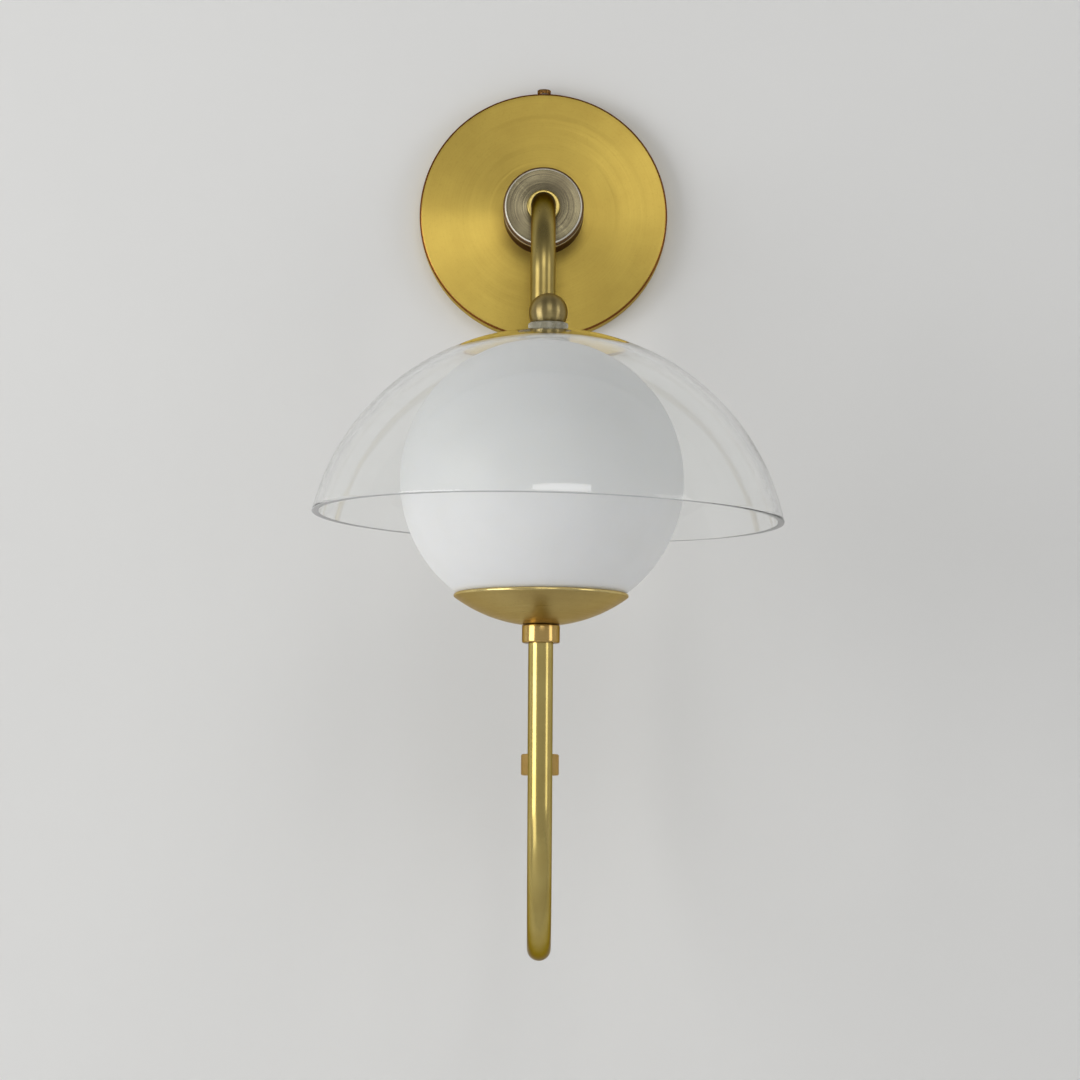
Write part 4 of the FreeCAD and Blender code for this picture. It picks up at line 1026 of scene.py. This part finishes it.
@dataclass
class Hub(Assembly):
    """The turned hub and the bright bushing where the arm leaves it."""

    radius: float = 24.4
    back: float = 13.0
    face: float = 41.0
    chamfer: float = 0.7
    bevel_radius: float = 23.3
    bevel_depth: float = 1.7
    groove_front: float = 5.2
    groove_back: float = 6.0
    groove_depth: float = 0.4
    band_back: float = 8.6
    socket: float = 7.35
    bushing_hole: float = 9.95
    bushing_floor: float = 38.0
    bushing_outer: float = 9.9
    bushing_top: float = 43.5
    bushing_rounding: float = 0.8

    def outline(self) -> Outline:
        """The hub's section: bevelled at the front, with a groove round it.

        Returns:
            Its corners.
        """
        waist = self.radius - self.groove_depth
        low, high = self.face - self.groove_back, self.face - self.groove_front
        corners = [
            (THREAD_HOLE, self.back),
            (self.radius, self.back, 0.15),
            (self.radius, self.face - self.band_back),
            (self.radius, low, 0.1),
            (waist, low, 0.1),
            (waist, high, 0.1),
            (self.radius, high, 0.1),
            (self.radius, self.face - self.bevel_depth, 0.15),
            (self.bevel_radius, self.face - self.chamfer, 0.1),
            (self.bevel_radius - self.chamfer, self.face, 0.15),
            (self.bushing_hole, self.face, 0.15),
            (self.bushing_hole, self.bushing_floor),
            (self.socket, self.bushing_floor),
            (self.socket, SOCKET_FLOOR),
            (THREAD_HOLE, SOCKET_FLOOR),
        ]
        return eased(corners, 4)

    def is_side(self, spot: Vector) -> bool:
        """Whether a face at a spot in metres is on the hub's side, whose browner tone is painted
        shade and reflection.
        """
        return off_axis(spot) / MM > self.bevel_radius - self.chamfer

    def is_painted_highlight(self, spot: Vector) -> bool:
        """Whether a face at a spot in metres is on the bevel or the band by the groove (painted
        highlight).
        """
        band = self.groove_back < self.face + spot.y / MM < self.band_back
        return self.is_side(spot) and (band or off_axis(spot) / MM < self.bevel_radius)

    def build(self) -> None:
        """Make the hub and its bushing."""
        hub = turned_mesh("hub_drum", self.outline(), axis=Axis.ROOM, segments=192)
        self.fit(hub, "hub_nickel", "hub_nickel", "hub")
        # The side gets the browner tone: painted shade and reflection.
        self.tell_apart(hub, "hub_side", self.is_side)
        # The bevel and the band get the near-white tone: painted highlight.
        self.tell_apart(hub, "hub_bright", self.is_painted_highlight)
        corners = [
            (self.socket, self.bushing_floor),
            (self.bushing_outer, self.bushing_floor),
            (self.bushing_outer, self.bushing_top, self.bushing_rounding),
            (self.socket, self.bushing_top, 0.2),
        ]
        bushing = turned_mesh("hub_ring", eased(corners), axis=Axis.ROOM, segments=128)
        self.fit(bushing, "bushing_brass", "polished_brass", "hub_bushing")


@dataclass
class Arm(Assembly):
    """The J-shaped arm: two tubes, the ring over their joint and the collar under the cup."""

    rear_radius: float = 7.25
    rear_bore: float = 5.25
    front_radius: float = 6.6
    front_bore: float = 5.2
    elbow: float = 48.0
    bend_height: float = 363.0
    ring_radius: float = 11.0
    ring_top: float = 332.3
    ring_length: float = 12.2
    collar_radius: float = 10.15
    collar_top: float = 269.535
    collar_bottom: float = 278.935
    tube_end: float = 273.935
    chamfer: float = 0.6
    play: float = 0.1
    elbow_steps: int = 40
    bend_steps: int = 90

    def build(self) -> None:
        """Make the tubes, the ring and the collar."""
        joint = self.ring_top + self.ring_length / 2
        start = REAR_Y + self.elbow
        rear = straight((-SOCKET_FLOOR, 0.0), (start, 0.0))
        rear += bend((start, -self.elbow), self.elbow, 90.0, 180.0, self.elbow_steps)
        rear += straight((REAR_Y, -self.elbow), (REAR_Y, -joint), 12)[1:]
        tube = tube_mesh("arm_rear_tube", rear, self.rear_radius, self.rear_bore)
        # The rear tube gets the darker brass: painted shade.
        self.fit(tube, "elbow_brass", "polished_brass", "rear_arm")

        middle, half_span = (REAR_Y + LAMP_Y) / 2, (REAR_Y - LAMP_Y) / 2
        low = -self.bend_height
        front = straight((REAR_Y, -joint), (REAR_Y, low))
        front += bend((middle, low), half_span, 0.0, -180.0, self.bend_steps)
        front += straight((LAMP_Y, low), (LAMP_Y, -self.tube_end), 6)[1:]
        tube = tube_mesh("arm_front_tube", front, self.front_radius, self.front_bore)
        self.fit(tube, "tube_brass", "polished_brass", "front_arm")

        half = self.ring_length / 2
        upper, lower = self.rear_radius + self.play, self.front_radius + self.play
        edge = self.ring_radius - self.chamfer
        corners = [
            (lower, -half),
            (edge, -half, 0.2),
            (self.ring_radius, self.chamfer - half, 0.2),
            (self.ring_radius, half - self.chamfer, 0.2),
            (edge, half, 0.2),
            (upper, half),
            (upper, 0.0),
            (lower, 0.0),
        ]
        place = (0.0, REAR_Y, -joint)
        ring = turned_mesh("arm_ring", eased(corners, 3), place, segments=128)
        self.fit(ring, "ring_brass", "polished_brass", "coupling_ring")

        edge = self.collar_radius - self.chamfer
        corners = [
            (lower, -self.collar_bottom),
            (edge, -self.collar_bottom, 0.2),
            (self.collar_radius, self.chamfer - self.collar_bottom, 0.2),
            (self.collar_radius, -self.collar_top, 0.25),
            (THREAD_HOLE, -self.collar_top),
            (THREAD_HOLE, -self.tube_end),
            (lower, -self.tube_end),
        ]
        place = (0.0, LAMP_Y, 0.0)
        collar = turned_mesh("cup_collar", eased(corners, 3), place, segments=128)
        self.fit(collar, "collar_brass", "polished_brass", "front_collar")


@dataclass
class Cup(Assembly):
    """The spun cup with its rolled lip, and the gasket in it."""

    outer: float = 78.9
    inner: float = 77.6
    lip_reach: float = 77.8
    lip_depth: float = 62.8
    lip_radius: float = 1.1
    lip_share: float = 0.4
    steps: int = 48
    lip_steps: int = 28

    def outline(self) -> Outline:
        """The cup's section: the outside of the bowl, round the lip, and back down the inside.

        Returns:
            Its corners.
        """
        lip_across = leg(self.lip_reach, self.lip_depth)
        slope = math.degrees(math.atan2(-self.lip_depth, lip_across))
        low_outer = math.degrees(-math.acos(THREAD_HOLE / self.outer))
        low_inner = math.degrees(-math.acos(THREAD_HOLE / self.inner))
        past = self.lip_reach - self.inner
        turn = 270.0 - math.degrees(math.asin(past / self.lip_radius))
        step = math.degrees(leg(self.lip_radius, past) / self.inner)
        lip = lip_across, -self.lip_depth
        outline = arc(CENTRE, self.outer, low_outer, slope, self.steps)
        outline += arc(lip, self.lip_radius, slope, slope + turn, self.lip_steps)[1:]
        return outline + arc(CENTRE, self.inner, slope - step, low_inner, self.steps)[1:]

    def build(self) -> None:
        """Make the cup and dress its gasket."""
        bowl = turned_mesh("brass_cup", self.outline(), (0.0, LAMP_Y, GLOBE_Z), segments=224)
        self.fit(bowl, "cup_brass", "canopy_brass", "cup")
        low = (GLOBE_Z - self.lip_depth - self.lip_share * self.lip_radius) * MM
        # The lip gets the lighter, smoother brass: painted highlight on a polished lip.
        self.tell_apart(bowl, "lip_brass", lambda spot: spot.z > low)
        self.dress("silicone", "globe_gasket")


@dataclass
class Globe(Assembly):
    """The opal globe and the bush in its crown."""

    outer: float = 76.4
    inner: float = 73.9
    mouth: float = 29.0
    seat: float = 75.9
    bush_hole: float = 5.3
    crown: float = 89.0
    outer_steps: int = 96
    inner_steps: int = 72
    drill_over: float = 6.0

    def outline(self) -> Outline:
        """The globe's section: mouth, outside, flat seat on top and inside.

        Returns:
            Its corners.
        """
        low_outer = math.degrees(-math.acos(self.mouth / self.outer))
        low_inner = math.degrees(-math.acos(self.mouth / self.inner))
        high_outer = math.degrees(math.asin(self.seat / self.outer))
        outline = arc(CENTRE, self.outer, low_outer, high_outer, self.outer_steps)
        outline += [(0.0, self.seat), (0.0, self.inner)]
        return outline + arc(CENTRE, self.inner, self.crown, low_inner, self.inner_steps)

    def build(self) -> None:
        """Make the globe, bore its crown and dress the bush's pieces."""
        ball = turned_mesh("opal_globe", self.outline(), (0.0, LAMP_Y, GLOBE_Z), segments=256)
        low, high = self.inner - self.drill_over + GLOBE_Z, self.seat + self.drill_over + GLOBE_Z
        bore(ball, self.bush_hole, low, high, (CROWN_X, LAMP_Y, 0.0), 48)
        self.fit(ball, "opal_glass", "opal_glass", "globe", "globe")
        self.dress("collar_brass", "top_bush", "bush_nut")
        self.dress("silicone", "bush_washer", "dome_pad")


@dataclass
class Dome(Assembly):
    """The clear glass dome with its round rim and its neck ring."""

    outer: float = 130.0
    wall: float = 3.5
    rim_radius: float = 127.01
    rim_edge: float = 0.4
    tilt: float = 1.37
    upright_from: float = 75.0
    inner_crown: float = 88.0
    outer_crown: float = 85.6
    steps: int = 110
    rim_steps: int = 4
    neck_hole: float = 5.3
    neck_outer: float = 10.8
    neck_inner: float = 9.3
    neck_height: float = 3.7
    neck_fillet: float = 0.8
    fillet_share: float = 1.5
    neck_floor: float = 0.9
    neck_bevel: float = 0.6
    neck_line: float = 0.3

    def outline(self) -> Outline:
        """The bowl's section, from the inside of the neck's hole over the rim and back up.

        Returns:
            Its corners.
        """
        inner = self.outer - self.wall
        ground = leg(self.outer, self.rim_radius)
        rise = ground + self.rim_edge
        near, far = leg(inner, rise), leg(self.outer, rise)
        end, start = (math.degrees(math.asin(rise / reach)) for reach in (inner, self.outer))
        edge, steps = self.rim_edge, self.rim_steps
        outline = arc(CENTRE, inner, self.inner_crown, end, self.steps)
        outline += arc((near + edge, rise), edge, 180.0, 270.0, steps)[1:]
        outline += arc((far - edge, rise), edge, 270.0, 360.0, steps)
        return outline + arc(CENTRE, self.outer, start, self.outer_crown, self.steps)[1:]

    def lean(self, radius: float, height: float) -> float:
        """Degrees by which a ring of the bowl leans: fully at the rim, not at all at the neck."""
        rise = math.degrees(math.atan2(height, radius)) / self.upright_from
        return self.tilt * (1.0 - min(1.0, max(0.0, rise)))

    def build(self) -> None:
        """Make the bowl and the neck as one blown piece."""
        fillet, floor = self.neck_fillet, self.outer - self.neck_floor
        top = self.outer + self.neck_height
        edge = (self.neck_outer - self.neck_inner) / 2
        outline = self.outline()
        while outline[-1][0] < self.neck_outer + self.fillet_share * fillet:
            outline.pop()
        foot = leg(self.outer, self.neck_outer)
        outline += arc((self.neck_outer + fillet, foot + fillet), fillet, 270.0, 180.0, 5)
        outline += arc((self.neck_outer - edge, top - edge), edge, 0.0, 180.0, 12)
        outline += [
            (self.neck_inner, self.outer - self.neck_bevel),
            (self.neck_inner - self.neck_bevel, floor),
            (self.neck_hole, floor),
            (self.neck_hole, self.outer - self.wall),
        ]
        place = (CROWN_X, LAMP_Y, DOME_Z)
        bowl = turned_mesh("glass_dome", outline, place, segments=288, lean=self.lean)
        self.fit(bowl, "clear_glass", "clear_glass", "dome", "dome")
        limit = (leg(self.outer, self.rim_radius) + self.rim_edge) * MM
        neck = (self.outer - self.neck_line) * MM
        upright = Matrix.Rotation(math.radians(-self.tilt), 3, "Y")
        centre = Vector(place) * MM
        self.tell_apart(bowl, "ground_glass", lambda spot: (upright @ (spot - centre)).z < limit)
        self.tell_apart(bowl, "neck_glass", lambda spot: (spot - centre).z > neck)


@dataclass
class Finial(Assembly):
    """The ball finial with its threaded stem, and the washer under it."""

    radius: float = 10.5
    seat: float = 8.7
    stem: float = 3.0
    stem_chamfer: float = 0.4
    thread_end: float = 0.5
    thread_pitch: float = 1.0
    thread_depth: float = 0.25
    crown: float = 89.5
    steps: int = 56

    def build(self) -> None:
        """Make the finial and dress its washer."""
        low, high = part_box("finial")
        centre = high.z / MM - self.radius
        tip = low.z / MM - centre
        outline: Outline = [(0.0, tip), (self.stem - self.stem_chamfer, tip)]
        height = tip + self.stem_chamfer
        while height < -self.seat - self.thread_end:
            outline.append((self.stem, height))
            outline.append((self.stem - self.thread_depth, height + self.thread_pitch / 2))
            height += self.thread_pitch
        outline.append((self.stem, -self.seat))
        under = -math.degrees(math.asin(self.seat / self.radius))
        outline += arc(CENTRE, self.radius, under, self.crown, self.steps)
        outline.append((0.0, self.radius))
        ball = turned_mesh("ball_finial", outline, (CROWN_X, LAMP_Y, centre))
        self.fit(ball, "ball_brass", "polished_brass", "finial", "finial")
        self.dress("silicone", "finial_washer")


@dataclass
class Fittings(Assembly):
    """The wall fixing, wiring, lampholder and bulb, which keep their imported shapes."""

    def build(self) -> None:
        """Dress the pieces."""
        for finish, names in FITTING_FINISHES.items():
            self.dress(finish, *names)


@dataclass(frozen=True)
class SoftBox:
    """A rectangular lamp with a diffuser.

    Attributes:
        name: the lamp's name.
        azimuth: degrees round from the front, positive towards +X.
        elevation: degrees above the horizon.
        distance: metres from the object.
        width: metres.
        height: metres.
        brightness: how bright its face looks, where 1 is white.
        warmth: colour of its light.
    """

    name: str
    azimuth: float
    elevation: float
    distance: float
    width: float
    height: float
    brightness: float
    warmth: Colour = (1.0, 0.995, 0.985)

    def build(self, target: Vector) -> None:
        """Hang the lamp so that it faces the object.

        Args:
            target: the point that it faces, in metres.
        """
        turn, rise = math.radians(self.azimuth), math.radians(self.elevation)
        level = math.cos(rise)
        towards = Vector((math.sin(turn) * level, -math.cos(turn) * level, math.sin(rise)))
        light = bpy.data.lights.new(self.name, "AREA")
        light.shape = "RECTANGLE"
        light.size = self.width
        light.size_y = self.height
        light.energy = self.brightness * math.pi * self.width * self.height
        light.color = self.warmth
        lamp = put(self.name, light)
        lamp.location = target + towards * self.distance
        lamp.rotation_mode = "QUATERNION"
        lamp.rotation_quaternion = (-towards).to_track_quat("-Z", "Y")
        lamp.visible_camera = False


SOFT_BOXES = (
    SoftBox("key_left", -56.0, 3.0, 2.2, 1.3, 1.1, 3.4),
    SoftBox("low_left", -48.0, -24.0, 2.2, 1.1, 0.9, 1.4),
    SoftBox("front_high", 7.0, 23.0, 2.1, 0.9, 0.66, 2.5),
    SoftBox("right_side", 60.0, 9.0, 2.2, 0.7, 1.3, 1.7),
)


@dataclass
class Studio:
    """The wall, the floor, the soft boxes, the surroundings and the camera."""

    wall_half_width: float = 1.7
    wall_top: float = 1.5
    wall_hole: float = 0.0735
    wall_gap: float = 0.0004
    wall_steps: int = 96
    wall_tone: Screen = (236, 236, 235)
    wall_second: Screen = (233, 233, 232)
    wall_patches: Place = (2.2, 3.0, 0.5)
    wall_grain: Place = (420.0, 3.0, 0.6)
    wall_dullness: Pair = (0.78, 0.9)
    floor_height: float = -1.3
    floor_reach: float = 2.6
    room: Colour = (0.47, 0.47, 0.47)
    ceiling: Colour = (0.18, 0.18, 0.18)
    pale: Colour = (0.72, 0.72, 0.715)
    behind: Pair = (-0.25, 0.35)
    overhead: Pair = (0.3, 0.75)
    lamp_target: Place = (0.0, -0.15, -0.2)
    camera_place: Place = (-0.0008, -2.123, -0.4102)
    camera_pitch: float = 5.70
    camera_roll: float = 0.37
    camera_lens: float = 116.67
    camera_sensor: float = 36.0
    camera_near: float = 0.05

    def paint(self) -> Material:
        """Pale wall paint that is only there when seen from the room.

        Returns:
            The material.
        """
        nodes = Shading(bpy.data.materials.new("wall_paint"))
        slow = nodes.spread(nodes.noise(nodes.position(), *self.wall_patches), 0.0, 1.0)
        fine = nodes.noise(nodes.position(), *self.wall_grain)
        inputs = {
            "Base Color": nodes.blend(slow, linear(self.wall_tone), linear(self.wall_second)),
            "Roughness": nodes.spread(fine, *self.wall_dullness),
            "Specular IOR Level": 0.25,
            "Normal": nodes.bump(fine, 0.05, 0.5),
        }
        away = nodes.add("NewGeometry").outputs["Backfacing"]
        return nodes.finish(nodes.backed(away, nodes.add("BsdfPrincipled", inputs), CLEAR))

    def wall(self) -> tuple[list[Place], list[Sequence[int]]]:
        """The wall, with an opening behind the cover as for a wall box.

        Returns:
            Its points in metres and its faces.
        """
        steps, depth = self.wall_steps, self.wall_gap
        rim: list[Place] = []
        outside: list[Place] = []
        faces: list[Sequence[int]] = []
        for step in range(steps):
            angle = FULL_TURN * step / steps
            across, up = math.cos(angle), math.sin(angle)
            limit = self.wall_top if up > 0 else -self.floor_height
            reach = min(self.wall_half_width / max(abs(across), TINY), limit / max(abs(up), TINY))
            rim.append((self.wall_hole * across, depth, self.wall_hole * up))
            outside.append((reach * across, depth, reach * up))
            after = (step + 1) % steps
            faces.append((step, steps + step, steps + after, after))
        return rim + outside, faces

    def floor(self) -> tuple[list[Place], list[Sequence[int]]]:
        """The floor's points in metres and its one face."""
        far, low = self.floor_reach, self.floor_height
        return [(-far, -far, low), (far, -far, low), (far, far, low), (-far, far, low)], [range(4)]

    def world(self) -> None:
        """Plain surroundings: pale behind the wall, dimmer in the room."""
        world = bpy.data.worlds.new("surroundings")
        bpy.context.scene.world = world
        nodes = Shading(world, "World")
        parts = nodes.add("SeparateXYZ", {0: nodes.add("TexCoord").outputs["Generated"]}).outputs
        behind = nodes.spread(parts["Y"], 0.0, 1.0, *self.behind)
        overhead = nodes.spread(parts["Z"], 0.0, 1.0, *self.overhead)
        room = nodes.blend(behind, nodes.blend(overhead, self.room, self.ceiling), self.pale)
        rays = nodes.add("LightPath").outputs
        seen = nodes.math_step("MAXIMUM", rays["Is Camera Ray"], rays["Is Transmission Ray"])
        nodes.finish(nodes.add("Background", {"Color": nodes.blend(seen, room, self.pale)}))

    def camera(self) -> None:
        """The camera at the photograph's place and angle."""
        pitch, roll = math.radians(self.camera_pitch), math.radians(self.camera_roll)
        ahead = Vector((0.0, math.cos(pitch), math.sin(pitch)))
        level = Vector((0.0, -math.sin(pitch), math.cos(pitch)))
        side = Vector((1.0, 0.0, 0.0))
        right = side * math.cos(roll) + level * math.sin(roll)
        up = level * math.cos(roll) - side * math.sin(roll)
        data = bpy.data.cameras.new("camera")
        data.lens = self.camera_lens
        data.sensor_width = self.camera_sensor
        data.clip_start = self.camera_near
        camera = put("camera", data)
        turn = Matrix((right, up, -ahead)).transposed().to_4x4()
        camera.matrix_world = Matrix.Translation(self.camera_place) @ turn
        bpy.context.scene.camera = camera

    def build(self) -> None:
        """Set up the stage, the lamps, the surroundings and the camera."""
        paint = self.paint()
        for name, (points, faces) in {"wall": self.wall(), "floor": self.floor()}.items():
            mesh = bpy.data.meshes.new(name)
            mesh.from_pydata(points, [], faces)
            mesh.materials.append(paint)
            put(name, mesh)
        for box in SOFT_BOXES:
            box.build(Vector(self.lamp_target))
        self.world()
        self.camera()
        bpy.context.scene.view_settings.view_transform = "Standard"


def main() -> None:
    """Build and dress every piece in order."""
    logging.basicConfig(level=logging.INFO, format="%(name)s: %(message)s")
    Studio().build()
    materials = {finish.name: finish.build() for finish in FINISHES}
    for kind in (Canopy, KnurledScrews, Hub, Arm, Cup, Globe, Dome, Finial, Fittings):
        LOG.info("building %s", kind.__name__)
        kind(materials).build()


if __name__ == "__main__":
    main()
